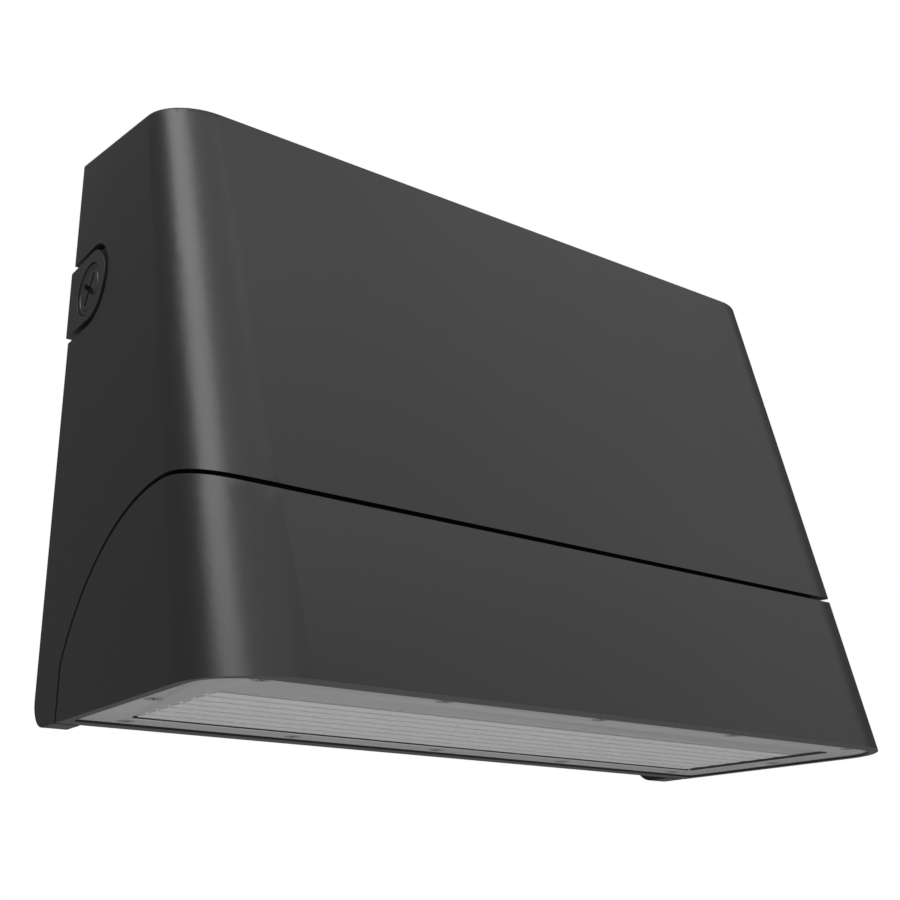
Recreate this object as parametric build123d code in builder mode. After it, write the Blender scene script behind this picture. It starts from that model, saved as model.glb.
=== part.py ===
"""Wall pack light: a die-cast housing that swings down from a wall box, with a lens frame below.

Millimetres. The origin is the middle of the junction-box pattern, in the plane of the wall: +Z is up,
+X is to the right of someone facing the light, and the wall is at +Y. In the sketches a depth is
measured out from the housing's back edge, and a height is measured up from the light's underside.
"""

import os
from math import sqrt

from build123d import *

# ---------------------------------------------------------------- whole light
light_width = 300.0
back_height = 229.3          # top face, at the back edge
front_top_height = 215.2     # top face, where it meets the front
front_top_depth = 83.5
front_bottom_depth = 147.3
corner_radius_bottom = 30.0  # upright front corners, at the underside
corner_radius_top = 19.0     # upright front corners, at the back's full height
top_edge_radius = 1.6
housing_wall = 3.5
wall_gap = 1.8               # housing's back edge to the wall
datum_height = 125.0         # junction-box centre above the underside

# ---------------------------------------------------------------- seam between housing and lens frame
seam_gap = 1.5
seam_radius = 84.0
seam_crown_depth = 98.0
seam_crown_height = 68.6
leg_depth = 22.0

# ---------------------------------------------------------------- legs and hinge
leg_tip_radius = 11.0
leg_tip_width = 9.0          # thickness of the leg tip, from the outside inwards
leg_tip_height = 44.0
hinge_pin_radius = 3.0
hinge_pin_clearance = 0.05
hinge_pin_cover = 2.5        # metal left outside the blind hole in the leg
lug_radius = 6.0
lug_width = 9.5
lug_side_clearance = 0.6

# ---------------------------------------------------------------- wall box
box_side_clearance = 2.5     # tray to the inside of the housing's skirt
box_wall = 4.0
box_depth = 42.0             # housing's back edge to the tray's rim
box_bottom_height = 56.0
box_corner_radius = 8.0
apron_bottom_height = 9.5
apron_rib_thickness = 3.0
apron_rib_depth = 8.0
apron_rib_spacing = 70.0
wire_hole_radius = 16.0
anchor_spacing_x = 220.0
anchor_spacing_z = 90.0
anchor_hole_radius = 3.2
box_slot_spacing = 88.9
box_slot_length = 12.0
box_slot_radius = 2.6
foam_groove_depth = 1.5
foam_width = 8.0
foam_length_x = 128.0
foam_length_z = 76.0

# ---------------------------------------------------------------- conduit entries
entry_depth = 20.0
entry_drop = 62.9            # housing's top at the back to the middle of the boss
entry_boss_radius = 14.0
entry_boss_proud = 0.4       # beyond the housing's side
entry_boss_length = 18.0
notch_clearance = 2.6
plug_depth = 18.2
plug_drop = 0.8              # middle of the boss to the middle of the plug
plug_radius = 10.65
plug_clearance = 0.05
plug_length = 9.0
plug_recess = 0.4
plug_slot_length = 13.4
plug_slot_width = 2.0
plug_slot_depth = 2.0
plug_slot_angle = 33.0
plug_groove_inset = 5.0      # outer face of the plug to its seal
seal_width = 1.8
seal_thickness = 1.4

# ---------------------------------------------------------------- housing bulkhead and its gasket
bulkhead_thickness = 3.0
bulkhead_border = 10.0       # from the tray's outside to the opening in the bulkhead
gasket_thickness = 1.8
gasket_gap = 0.2
gasket_width = 8.0
floor_thickness = 3.5

# ---------------------------------------------------------------- closing screws
closing_spacing = 180.0
closing_depth = 18.0
closing_screw_radius = 3.0
closing_head_radius = 5.5
closing_head_height = 3.5
closing_pocket_radius = 6.5
closing_pad_radius = 10.0
closing_pad_drop = 13.25     # top face to the underside of the pad
closing_pad_gap = 3.0        # pad to tab, so that the housing can swing
closing_swing_room = 4.5     # nut to the top of the tray
closing_head_sink = 1.5
closing_socket_width = 5.0
closing_socket_depth = 2.0
closing_tip_length = 0.5     # thread showing below the nut
closing_tab_thickness = 3.0
closing_tab_width = 24.0
closing_tab_depth = 30.0
closing_slot_clearance = 0.5
closing_nut_width = 9.0
closing_nut_height = 3.2
closing_washer_radius = 6.0
closing_washer_thickness = 1.0
closing_gap = 0.3

# ---------------------------------------------------------------- driver and its bracket
bracket_depth = 95.0         # front face of the bracket
bracket_thickness = 2.0
bracket_left_margin = 11.0
bracket_right_margin = 15.0
bracket_floor_gap = 0.9      # above the heads of the frame screws
bracket_height = 66.0
post_radius = 5.0
post_edge = 11.0             # bracket's end to a post
post_spacing_z = 50.0
driver_length = 150.0
driver_height = 56.0
driver_thickness = 34.0
driver_tab_length = 10.0
driver_tab_thickness = 3.0
driver_edge_radius = 3.0
surge_length = 46.0
surge_height = 34.0
surge_thickness = 26.0
surge_gap = 2.0

# ---------------------------------------------------------------- small screws
small_screw_radius = 2.0
small_head_radius = 3.8
small_head_height = 2.4
small_screw_length = 9.0
screw_clearance = 0.3

# ---------------------------------------------------------------- terminal block, ground screw, grommet
terminal_length = 42.0
terminal_height = 22.0
terminal_depth = 16.0
terminal_x = 82.0
terminal_z_height = 95.0
terminal_poles = 3
terminal_pole_pitch = 12.0
terminal_hole_radius = 2.2
terminal_edge_radius = 1.5
terminal_screw_spacing = 36.0
ground_x = -82.0
ground_pad_radius = 7.0
ground_pad_height = 4.0
grommet_bore_radius = 12.0
grommet_lip = 3.0
grommet_lip_thickness = 1.5

# ---------------------------------------------------------------- lens frame
frame_wall = 4.0
rebate_back_depth = 30.5
rebate_front_depth = 138.7
rebate_side_rim = 3.0
rebate_height = 4.0
rebate_front_radius = 18.0
rebate_back_radius = 3.0
ledge_thickness = 6.0
window_width = 268.0
window_back_depth = 42.5
window_front_depth = 124.0
window_radius = 3.0
frame_screw_spacing = 220.0
frame_screw_back_depth = 78.0
frame_screw_front_depth = 110.0
frame_screw_radius = 2.5
frame_screw_head_radius = 4.5
frame_screw_head_height = 4.0
frame_boss_radius = 6.0
frame_boss_bottom_height = 48.0
frame_boss_top_height = 63.0
housing_pad_rise = 3.0       # above the floor at its highest
frame_wire_hole_radius = 7.0
frame_gasket_edge = 6.5      # outside of the light to the gasket in the seam
frame_gasket_width = 5.0
frame_gasket_back_depth = 50.0
frame_gasket_front_depth = 121.0
frame_gasket_radius = 20.0   # outside of its front corners
seal_clearance = 0.05
vent_x = 60.0
vent_height = 14.5
vent_radius = 3.0
vent_head_radius = 4.5
vent_head_thickness = 2.5

# ---------------------------------------------------------------- lens
lens_clearance = 0.3
lens_recess = 0.8            # below the rim of the frame
lens_flange_thickness = 2.4
lens_field_step = 1.0        # the field lies this much deeper than the flange
lens_field_thickness = 2.4
lens_field_clearance = 0.5
lens_rib_count = 7
lens_rib_pitch = 9.0
lens_rib_width = 6.4
lens_rib_height = 0.5
lens_rib_first = 5.0         # window's back edge to the first rib
lens_rib_end_gap = 3.0
lens_screw_spacing = 65.0
lens_screw_columns = 5
lens_screw_edge = 5.6        # rebate's edge to a screw
lens_screw_radius = 1.6
lens_screw_head_radius = 3.1
lens_screw_length = 9.0
lens_hole_clearance = 0.2

# ---------------------------------------------------------------- light engine
carrier_top_height = 35.0
carrier_thickness = 3.0
carrier_width = 264.0
carrier_back_depth = 50.0
carrier_front_depth = 110.0
carrier_post_spacing = 252.0
carrier_post_back_depth = 60.0
carrier_post_front_depth = 100.0
board_thickness = 1.6
board_length = 110.0
board_width = 38.0
board_gap = 8.0
board_centre_depth = 77.0
led_size = 3.4
led_height = 1.4
led_columns = 8
led_rows = 3
led_pitch_x = 12.0
led_pitch_y = 11.0
reflector_thickness = 1.0
reflector_window_margin = 1.0 # board left showing around its screws and LEDs
board_screw_inset = 4.0
board_head_radius = 2.6
board_head_height = 1.2
board_screw_radius = 1.5
reflector_top_width = 236.0
reflector_top_back_depth = 50.0
reflector_top_front_depth = 104.7
reflector_bottom_gap = 1.0   # inside the frame's window
reflector_lens_gap = 0.5

# ---------------------------------------------------------------- worked out
half_width = light_width / 2
front_slope = (front_bottom_depth - front_top_depth) / front_top_height
corner_slope = (corner_radius_bottom - corner_radius_top) / back_height
top_slope = (back_height - front_top_height) / front_top_depth
seam_centre_height = seam_crown_height - seam_radius
hinge_depth = leg_tip_radius
hinge_height = leg_tip_radius
skirt_half_width = half_width - housing_wall
box_half_width = skirt_half_width - box_side_clearance
plate_front_depth = box_wall - wall_gap
bulkhead_back_depth = box_depth + gasket_gap + gasket_thickness
bulkhead_front_depth = bulkhead_back_depth + bulkhead_thickness
opening_half_width = box_half_width - bulkhead_border
opening_bottom_height = box_bottom_height + bulkhead_border
lug_outer_x = half_width - leg_tip_width - lug_side_clearance
entry_height = back_height - entry_drop
plug_height = entry_height - plug_drop
plug_face_x = half_width + entry_boss_proud - plug_recess
housing_pad_height = seam_crown_height + floor_thickness + housing_pad_rise
bracket_bottom_height = housing_pad_height + frame_screw_head_height + bracket_floor_gap
bracket_middle = bracket_bottom_height + bracket_height / 2
bracket_back_depth = bracket_depth - bracket_thickness
driver_overall = driver_length + 2 * driver_tab_length
bracket_width = bracket_left_margin + driver_overall + surge_gap + surge_length + bracket_right_margin
post_spacing_x = bracket_width - 2 * post_edge
driver_offset = bracket_left_margin + driver_overall / 2 - bracket_width / 2
surge_offset = bracket_width / 2 - bracket_right_margin - surge_length / 2
far = 2 * light_width        # long enough to cut right through
overshoot = 1.0              # past a face, where a cut starts or ends in the open

side = Plane(origin=(0, -wall_gap, -datum_height), x_dir=(0, -1, 0), z_dir=(-1, 0, 0))
plan = Plane(origin=(0, -wall_gap, -datum_height))
facing = Plane(origin=(0, -wall_gap, -datum_height), x_dir=(1, 0, 0), z_dir=(0, -1, 0))


def front_depth(height):
    """Depth of the sloping front face at a height."""
    return front_bottom_depth - front_slope * height


def top_height(depth):
    """Height of the sloping top face at a depth."""
    return back_height - top_slope * depth


def seam_height(depth, inset=0.0):
    """Height of the seam's arc at a depth, for a surface that lies inside it by an inset."""
    return seam_centre_height + sqrt((seam_radius - inset) ** 2 - (depth - seam_crown_depth) ** 2)


def below_seam(inset, back_depth, bottom_height):
    """Face of all that lies under the seam's arc and in front of a depth, in the side view."""
    front = front_bottom_depth + overshoot
    start = (back_depth, seam_height(back_depth, inset))
    crown = (seam_crown_depth, seam_height(seam_crown_depth, inset))
    end = (front, seam_height(front, inset))
    with BuildSketch(side) as region:
        with BuildLine():
            ThreePointArc(start, crown, end)
            Polyline(end, (front, bottom_height), (back_depth, bottom_height), start)
        make_face()
    return region


def side_outline(margin):
    """Face of the whole light in the side view, smaller all round by a margin."""
    with BuildSketch(side) as outline:
        with BuildLine():
            Polyline(
                (0, 0),
                (0, back_height),
                (front_top_depth, front_top_height),
                (front_bottom_depth, 0),
                close=True,
            )
        make_face()
        if margin:
            offset(amount=-margin, kind=Kind.INTERSECTION)
    return outline


closing_head_seat = top_height(closing_depth) - closing_head_height - closing_head_sink
closing_pad_height = top_height(closing_depth) - closing_pad_drop
closing_tab_height = closing_pad_height - closing_pad_gap
tab_under = closing_tab_height - closing_tab_thickness
washer_bottom = tab_under - closing_gap - closing_washer_thickness
nut_bottom = washer_bottom - closing_nut_height
box_top_height = nut_bottom - closing_swing_room
opening_top_height = box_top_height - bulkhead_border
carrier_bottom_height = carrier_top_height - carrier_thickness
board_bottom_height = carrier_bottom_height - board_thickness
led_bottom_height = board_bottom_height - led_height
flange_top_height = lens_recess + lens_flange_thickness
field_height = lens_recess + lens_field_step
field_top_height = field_height + lens_field_thickness


def plan_rectangle(height, half_x, back, front, back_radius=0.0, front_radius=0.0):
    """Rectangle in plan at a height, between two depths, with its corners rounded."""
    with BuildSketch(plan.offset(height)) as outline:
        with Locations((0, -(back + front) / 2)):
            Rectangle(2 * half_x, front - back)
        rows = outline.vertices().group_by(Axis.Y)
        if front_radius:
            fillet(rows[0], front_radius)
        if back_radius:
            fillet(outline.vertices().group_by(Axis.Y)[-1], back_radius)
    return outline


def lens_screw_places():
    """Places of the lens screws, as across and out in the plan view."""
    back = rebate_back_depth + lens_screw_edge
    front = rebate_front_depth - lens_screw_edge
    edge = half_width - rebate_side_rim - lens_screw_edge
    middle = (lens_screw_columns - 1) / 2
    places = []
    for column in range(lens_screw_columns):
        across = (column - middle) * lens_screw_spacing
        places.append((across, -back))
        places.append((across, -front))
    places.append((-edge, -(back + front) / 2))
    places.append((edge, -(back + front) / 2))
    return places


def corner_outline(height, margin):
    """Face of what the right-hand front corner's rounding takes away, in plan at a height."""
    edge = half_width - margin
    front = front_depth(height) - margin * sqrt(1 + front_slope ** 2)
    radius = corner_radius_bottom - corner_slope * height - margin
    with BuildSketch(plan.offset(height)) as outline:
        with BuildLine():
            CenterArc((edge - radius, radius - front), radius, -90, 90)
            Polyline(
                (edge, radius - front),
                (edge + overshoot, radius - front),
                (edge + overshoot, -front - overshoot),
                (edge - radius, -front - overshoot),
                (edge - radius, -front),
            )
        make_face()
    return outline


def rounded_form(margin):
    """Solid of the whole light, smaller all round by a margin, its front corners wider towards the bottom."""
    with BuildPart() as corner:
        loft([corner_outline(0, margin).sketch, corner_outline(back_height, margin).sketch], ruled=True)
    with BuildPart() as form:
        extrude(side_outline(margin).sketch, amount=half_width - margin, both=True)
        add(corner.part, mode=Mode.SUBTRACT)
        add(mirror(corner.part, about=Plane.YZ), mode=Mode.SUBTRACT)
    return form.part


# ---------------------------------------------------------------- outer form, shared by housing and lens frame
with BuildPart() as outer_form:
    add(rounded_form(0))
    top_face = outer_form.faces().sort_by(Axis.Z)[-1]
    back_line = top_face.edges().sort_by(Axis.Y)[-1]
    fillet(top_face.edges() - ShapeList([back_line]), top_edge_radius)

# ---------------------------------------------------------------- room for the driver, and for the light engine
with BuildPart() as driver_space:
    add(rounded_form(housing_wall))
    with BuildSketch(side):
        with Locations((bulkhead_front_depth / 2, back_height / 2)):
            Rectangle(bulkhead_front_depth, 2 * back_height)
    extrude(amount=far, both=True, mode=Mode.SUBTRACT)
    extrude(below_seam(-floor_thickness, bulkhead_back_depth, -back_height).sketch, amount=far,
            both=True, mode=Mode.SUBTRACT)

ledge_top_height = rebate_height + ledge_thickness
with BuildPart() as engine_space:
    add(rounded_form(frame_wall))
    extrude(below_seam(seam_gap + frame_wall, leg_depth + seam_gap + frame_wall, ledge_top_height).sketch,
            amount=far, both=True, mode=Mode.INTERSECT)

# ---------------------------------------------------------------- housing
with BuildPart() as housing:
    add(outer_form.part)
    add(driver_space.part, mode=Mode.SUBTRACT)
    # the skirt around the wall box, behind the bulkhead, open to the wall and at the bottom
    skirt_front = bulkhead_back_depth
    with BuildSketch(side) as skirt_space:
        with BuildLine():
            Polyline(
                (-wall_gap, -leg_depth),
                (-wall_gap, top_height(-wall_gap) - housing_wall),
                (skirt_front, top_height(skirt_front) - housing_wall),
                (skirt_front, -leg_depth),
                close=True,
            )
        make_face()
    extrude(amount=skirt_half_width, both=True, mode=Mode.SUBTRACT)
    # opening in the bulkhead
    with BuildSketch(facing.offset(bulkhead_back_depth)):
        with Locations((0, (opening_bottom_height + opening_top_height) / 2)):
            Rectangle(2 * opening_half_width, opening_top_height - opening_bottom_height)
    extrude(amount=bulkhead_thickness, mode=Mode.SUBTRACT)
    # leg tips, thick enough to hold the hinge pins
    for mirrored in (-1, 1):
        with BuildSketch(side.offset(mirrored * half_width)):
            with Locations((leg_depth / 2, leg_tip_height / 2)):
                Rectangle(leg_depth, leg_tip_height)
        extrude(amount=-mirrored * leg_tip_width)
    # posts for the bracket, from the inside of the sloping front
    for row in (-1, 1):
        post_height = bracket_middle + row * post_spacing_z / 2
        post_length = front_depth(post_height) - housing_wall / 2 - bracket_depth
        with BuildSketch(facing.offset(bracket_depth)):
            with Locations((-post_spacing_x / 2, post_height), (post_spacing_x / 2, post_height)):
                Circle(post_radius)
                Circle(small_screw_radius, mode=Mode.SUBTRACT)
        extrude(amount=post_length)
    # pads on the floor for the frame screws
    for screw_depth in (frame_screw_back_depth, frame_screw_front_depth):
        with BuildSketch(plan.offset(seam_height(screw_depth) - floor_thickness)):
            with Locations((-frame_screw_spacing / 2, -screw_depth), (frame_screw_spacing / 2, -screw_depth)):
                Circle(frame_boss_radius)
        extrude(amount=housing_pad_height - seam_height(screw_depth) + floor_thickness)
    # pads under the top for the closing screws
    with BuildSketch(plan.offset(closing_pad_height)):
        with Locations((-closing_spacing / 2, -closing_depth), (closing_spacing / 2, -closing_depth)):
            Circle(closing_pad_radius)
    extrude(amount=top_height(closing_depth) - housing_wall / 2 - closing_pad_height)
    # the room of the lens frame
    extrude(below_seam(0, leg_depth, -leg_depth).sketch, amount=far, both=True, mode=Mode.SUBTRACT)
    # leg tips rounded at the wall side
    with BuildSketch(side):
        with BuildLine():
            CenterArc((hinge_depth, hinge_height), leg_tip_radius, 180, 90)
            Polyline((hinge_depth, 0), (0, 0), (0, hinge_height))
        make_face()
    extrude(amount=far, both=True, mode=Mode.SUBTRACT)
    # notches around the bosses of the wall box
    notch_radius = entry_boss_radius + notch_clearance
    with BuildSketch(side):
        with Locations((entry_depth, entry_height)):
            Circle(notch_radius)
        with Locations(((entry_depth - wall_gap) / 2, entry_height)):
            Rectangle(entry_depth + wall_gap, 2 * notch_radius)
    extrude(amount=far, both=True, mode=Mode.SUBTRACT)
    # blind holes for the hinge pins
    with BuildSketch(side):
        with Locations((hinge_depth, hinge_height)):
            Circle(hinge_pin_radius + hinge_pin_clearance)
    extrude(amount=half_width - hinge_pin_cover, both=True, mode=Mode.SUBTRACT)
    # holes for the frame screws, and one for the wires of the light engine
    with BuildSketch(plan):
        with Locations((0, -(frame_screw_back_depth + frame_screw_front_depth) / 2)):
            with GridLocations(frame_screw_spacing, frame_screw_front_depth - frame_screw_back_depth, 2, 2):
                Circle(frame_screw_radius + screw_clearance)
            Circle(frame_wire_hole_radius)
    extrude(amount=housing_pad_height + overshoot, mode=Mode.SUBTRACT)
    # holes and pockets for the closing screws
    for seat, radius in (
        (closing_pad_height - overshoot, closing_screw_radius + screw_clearance),
        (closing_head_seat, closing_pocket_radius),
    ):
        with BuildSketch(plan.offset(seat)):
            with GridLocations(closing_spacing, 0, 2, 1):
                with Locations((0, -closing_depth)):
                    Circle(radius)
        extrude(amount=back_height, mode=Mode.SUBTRACT)
housing.part.label = "housing"

# ---------------------------------------------------------------- wall box
with BuildPart() as wall_box:
    box_middle = (box_bottom_height + box_top_height) / 2
    box_height = box_top_height - box_bottom_height
    # tray, open to the front
    with BuildSketch(facing.offset(-wall_gap)):
        with Locations((0, box_middle)):
            RectangleRounded(2 * box_half_width, box_height, box_corner_radius)
    extrude(amount=box_depth + wall_gap)
    with BuildSketch(facing.offset(plate_front_depth)):
        with Locations((0, box_middle)):
            RectangleRounded(
                2 * (box_half_width - box_wall),
                box_height - 2 * box_wall,
                box_corner_radius - box_wall,
            )
    extrude(amount=box_depth, mode=Mode.SUBTRACT)
    # apron down to the hinge, with stiffening ribs
    apron_top_height = box_bottom_height + box_corner_radius
    with BuildSketch(facing.offset(-wall_gap)):
        with Locations((0, (apron_bottom_height + apron_top_height) / 2)):
            Rectangle(2 * lug_outer_x, apron_top_height - apron_bottom_height)
    extrude(amount=box_wall)
    with BuildSketch(facing.offset(plate_front_depth)):
        with Locations((0, (apron_bottom_height + box_bottom_height) / 2)):
            with GridLocations(apron_rib_spacing, 0, 3, 1):
                Rectangle(apron_rib_thickness, box_bottom_height - apron_bottom_height + box_wall)
    extrude(amount=apron_rib_depth)
    # hinge lugs
    lug_arm_height = hinge_height + lug_radius - apron_bottom_height
    for mirrored in (-1, 1):
        with BuildSketch(side.offset(mirrored * lug_outer_x)):
            with Locations((hinge_depth, hinge_height)):
                Circle(lug_radius)
            with Locations(((hinge_depth - wall_gap) / 2, apron_bottom_height + lug_arm_height / 2)):
                Rectangle(hinge_depth + wall_gap, lug_arm_height)
            with Locations((hinge_depth, hinge_height)):
                Circle(hinge_pin_radius, mode=Mode.SUBTRACT)
        extrude(amount=-mirrored * lug_width)
    # tabs for the closing screws, slotted towards the front
    with BuildSketch(facing.offset(-wall_gap)):
        with Locations((0, (box_middle + closing_tab_height) / 2)):
            with GridLocations(closing_spacing, 0, 2, 1):
                Rectangle(closing_tab_width, closing_tab_height - box_middle)
    extrude(amount=box_wall)
    with BuildSketch(plan.offset(tab_under)):
        with Locations((0, -(closing_tab_depth - wall_gap) / 2)):
            with GridLocations(closing_spacing, 0, 2, 1):
                Rectangle(closing_tab_width, closing_tab_depth + wall_gap)
        slot_radius = closing_screw_radius + closing_slot_clearance
        with Locations((0, -closing_depth)):
            with GridLocations(closing_spacing, 0, 2, 1):
                Circle(slot_radius, mode=Mode.SUBTRACT)
        with Locations((0, -(closing_depth + closing_tab_depth) / 2)):
            with GridLocations(closing_spacing, 0, 2, 1):
                Rectangle(2 * slot_radius, closing_tab_depth - closing_depth, mode=Mode.SUBTRACT)
    extrude(amount=closing_tab_thickness)
    # bosses of the conduit entries, through the notches of the housing
    for mirrored in (-1, 1):
        with BuildSketch(side.offset(mirrored * (half_width + entry_boss_proud))):
            with Locations((entry_depth, entry_height)):
                Circle(entry_boss_radius)
            with Locations(((entry_depth - wall_gap) / 2, entry_height)):
                Rectangle(entry_depth + wall_gap, 2 * entry_boss_radius)
        extrude(amount=-mirrored * entry_boss_length)
    with BuildSketch(side):
        with Locations((plug_depth, plug_height)):
            Circle(plug_radius)
    extrude(amount=far, both=True, mode=Mode.SUBTRACT)
    # pad for the ground screw
    with BuildSketch(facing.offset(plate_front_depth)):
        with Locations((ground_x, terminal_z_height)):
            Circle(ground_pad_radius)
    extrude(amount=ground_pad_height)
    with BuildSketch(facing.offset(plate_front_depth)):
        with Locations((ground_x, terminal_z_height)):
            Circle(small_screw_radius)
    extrude(amount=ground_pad_height, mode=Mode.SUBTRACT)
    # wire hole, junction-box slots and anchor holes
    with BuildSketch(facing.offset(-wall_gap)):
        with Locations((0, datum_height)):
            Circle(wire_hole_radius)
            with GridLocations(box_slot_spacing, 0, 2, 1):
                SlotOverall(box_slot_length, 2 * box_slot_radius)
            with GridLocations(anchor_spacing_x, anchor_spacing_z, 2, 2):
                Circle(anchor_hole_radius)
    extrude(amount=box_wall, mode=Mode.SUBTRACT)
    # groove for the foam seal on the wall side
    with BuildSketch(facing.offset(-wall_gap)):
        with Locations((0, datum_height)):
            Rectangle(foam_length_x, foam_length_z)
            Rectangle(foam_length_x - 2 * foam_width, foam_length_z - 2 * foam_width, mode=Mode.SUBTRACT)
    extrude(amount=foam_groove_depth, mode=Mode.SUBTRACT)
wall_box.part.label = "wall_box"

# ---------------------------------------------------------------- what the wall box carries
with BuildPart() as wall_gasket:
    with BuildSketch(facing.offset(-wall_gap)):
        with Locations((0, datum_height)):
            Rectangle(foam_length_x, foam_length_z)
            Rectangle(foam_length_x - 2 * foam_width, foam_length_z - 2 * foam_width, mode=Mode.SUBTRACT)
    extrude(amount=foam_groove_depth)
wall_gasket.part.label = "wall_gasket"

with BuildPart() as wire_grommet:
    with BuildSketch(facing.offset(-wall_gap)):
        with Locations((0, datum_height)):
            Circle(wire_hole_radius)
            Circle(grommet_bore_radius, mode=Mode.SUBTRACT)
    extrude(amount=box_wall)
    with BuildSketch(facing.offset(plate_front_depth)):
        with Locations((0, datum_height)):
            Circle(wire_hole_radius + grommet_lip)
            Circle(grommet_bore_radius, mode=Mode.SUBTRACT)
    extrude(amount=grommet_lip_thickness)
wire_grommet.part.label = "wire_grommet"

with BuildPart() as conduit_plug_left:
    with BuildSketch(side.offset(plug_face_x)):
        with Locations((plug_depth, plug_height)):
            Circle(plug_radius - plug_clearance)
    extrude(amount=-plug_length)
    with BuildSketch(side.offset(plug_face_x)):
        with Locations((plug_depth, plug_height)):
            with PolarLocations(0, 2, start_angle=plug_slot_angle, angular_range=90, endpoint=True):
                SlotOverall(plug_slot_length, plug_slot_width)
    extrude(amount=-plug_slot_depth, mode=Mode.SUBTRACT)
    with BuildSketch(side.offset(plug_face_x - plug_groove_inset)):
        with Locations((plug_depth, plug_height)):
            Circle(plug_radius)
            Circle(plug_radius - plug_clearance - seal_thickness, mode=Mode.SUBTRACT)
    extrude(amount=-seal_width, mode=Mode.SUBTRACT)
conduit_plug_left.part.label = "conduit_plug_left"

with BuildPart() as conduit_plug_right:
    add(mirror(conduit_plug_left.part, about=Plane.YZ))
conduit_plug_right.part.label = "conduit_plug_right"

with BuildPart() as plug_seals:
    for mirrored in (-1, 1):
        with BuildSketch(side.offset(mirrored * (plug_face_x - plug_groove_inset))):
            with Locations((plug_depth, plug_height)):
                Circle(plug_radius)
                Circle(plug_radius - plug_clearance - seal_thickness, mode=Mode.SUBTRACT)
        extrude(amount=-mirrored * seal_width)
plug_seals.part.label = "plug_seals"

with BuildPart() as hinge_pins:
    pin_inner_x = lug_outer_x - lug_width
    pin_outer_x = half_width - hinge_pin_cover - lug_side_clearance
    for mirrored in (-1, 1):
        with BuildSketch(side.offset(mirrored * pin_outer_x)):
            with Locations((hinge_depth, hinge_height)):
                Circle(hinge_pin_radius)
        extrude(amount=-mirrored * (pin_outer_x - pin_inner_x))
hinge_pins.part.label = "hinge_pins"

with BuildPart() as terminal_block:
    with BuildSketch(facing.offset(plate_front_depth)):
        with Locations((terminal_x, terminal_z_height)):
            RectangleRounded(terminal_length, terminal_height, terminal_edge_radius)
    extrude(amount=terminal_depth)
    terminal_hole_depth = plate_front_depth + terminal_depth / 2
    with BuildSketch(plan):
        with Locations((terminal_x, -terminal_hole_depth)):
            with GridLocations(terminal_pole_pitch, 0, terminal_poles, 1):
                Circle(terminal_hole_radius)
    extrude(amount=back_height, mode=Mode.SUBTRACT)
terminal_block.part.label = "terminal_block"

with BuildPart() as terminal_screws:
    with BuildSketch(facing.offset(plate_front_depth + terminal_depth)):
        with Locations((terminal_x, terminal_z_height)):
            with GridLocations(terminal_pole_pitch, 0, terminal_poles, 1):
                Circle(small_head_radius)
    extrude(amount=small_head_height)
terminal_screws.part.label = "terminal_screws"

with BuildPart() as ground_screw:
    ground_face = plate_front_depth + ground_pad_height
    with BuildSketch(facing.offset(ground_face)):
        with Locations((ground_x, terminal_z_height)):
            RegularPolygon(small_head_radius, 6)
    extrude(amount=small_head_height)
    with BuildSketch(facing.offset(plate_front_depth)):
        with Locations((ground_x, terminal_z_height)):
            Circle(small_screw_radius)
    extrude(amount=ground_pad_height)
ground_screw.part.label = "ground_screw"

# ---------------------------------------------------------------- what the housing carries
with BuildPart() as housing_gasket:
    with BuildSketch(facing.offset(box_depth + gasket_gap)):
        with Locations((0, box_middle)):
            RectangleRounded(2 * box_half_width, box_height, box_corner_radius)
            RectangleRounded(
                2 * (box_half_width - gasket_width),
                box_height - 2 * gasket_width,
                box_corner_radius - box_wall,
                mode=Mode.SUBTRACT,
            )
    extrude(amount=gasket_thickness)
housing_gasket.part.label = "housing_gasket"

with BuildPart() as closing_screws:
    with BuildSketch(plan.offset(closing_head_seat)):
        with Locations((0, -closing_depth)):
            with GridLocations(closing_spacing, 0, 2, 1):
                Circle(closing_head_radius)
    extrude(amount=closing_head_height)
    with BuildSketch(plan.offset(nut_bottom - closing_tip_length)):
        with Locations((0, -closing_depth)):
            with GridLocations(closing_spacing, 0, 2, 1):
                Circle(closing_screw_radius)
    extrude(amount=closing_head_seat - nut_bottom + closing_tip_length)
    with BuildSketch(plan.offset(closing_head_seat + closing_head_height - closing_socket_depth)):
        with Locations((0, -closing_depth)):
            with GridLocations(closing_spacing, 0, 2, 1):
                RegularPolygon(closing_socket_width / 2, 6, major_radius=False)
    extrude(amount=closing_socket_depth, mode=Mode.SUBTRACT)
closing_screws.part.label = "closing_screws"

with BuildPart() as closing_washers:
    with BuildSketch(plan.offset(washer_bottom)):
        with Locations((0, -closing_depth)):
            with GridLocations(closing_spacing, 0, 2, 1):
                Circle(closing_washer_radius)
                Circle(closing_screw_radius, mode=Mode.SUBTRACT)
    extrude(amount=closing_washer_thickness)
closing_washers.part.label = "closing_washers"

with BuildPart() as closing_nuts:
    with BuildSketch(plan.offset(nut_bottom)):
        with Locations((0, -closing_depth)):
            with GridLocations(closing_spacing, 0, 2, 1):
                RegularPolygon(closing_nut_width / 2, 6, major_radius=False)
                Circle(closing_screw_radius, mode=Mode.SUBTRACT)
    extrude(amount=closing_nut_height)
closing_nuts.part.label = "closing_nuts"

with BuildPart() as bracket:
    with BuildSketch(facing.offset(bracket_back_depth)):
        with Locations((0, bracket_middle)):
            Rectangle(bracket_width, bracket_height)
            with GridLocations(post_spacing_x, post_spacing_z, 2, 2):
                Circle(small_screw_radius, mode=Mode.SUBTRACT)
        with Locations((driver_offset, bracket_middle)):
            with GridLocations(driver_length + driver_tab_length, 0, 2, 1):
                Circle(small_screw_radius, mode=Mode.SUBTRACT)
    extrude(amount=bracket_thickness)
bracket.part.label = "bracket"

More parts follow.
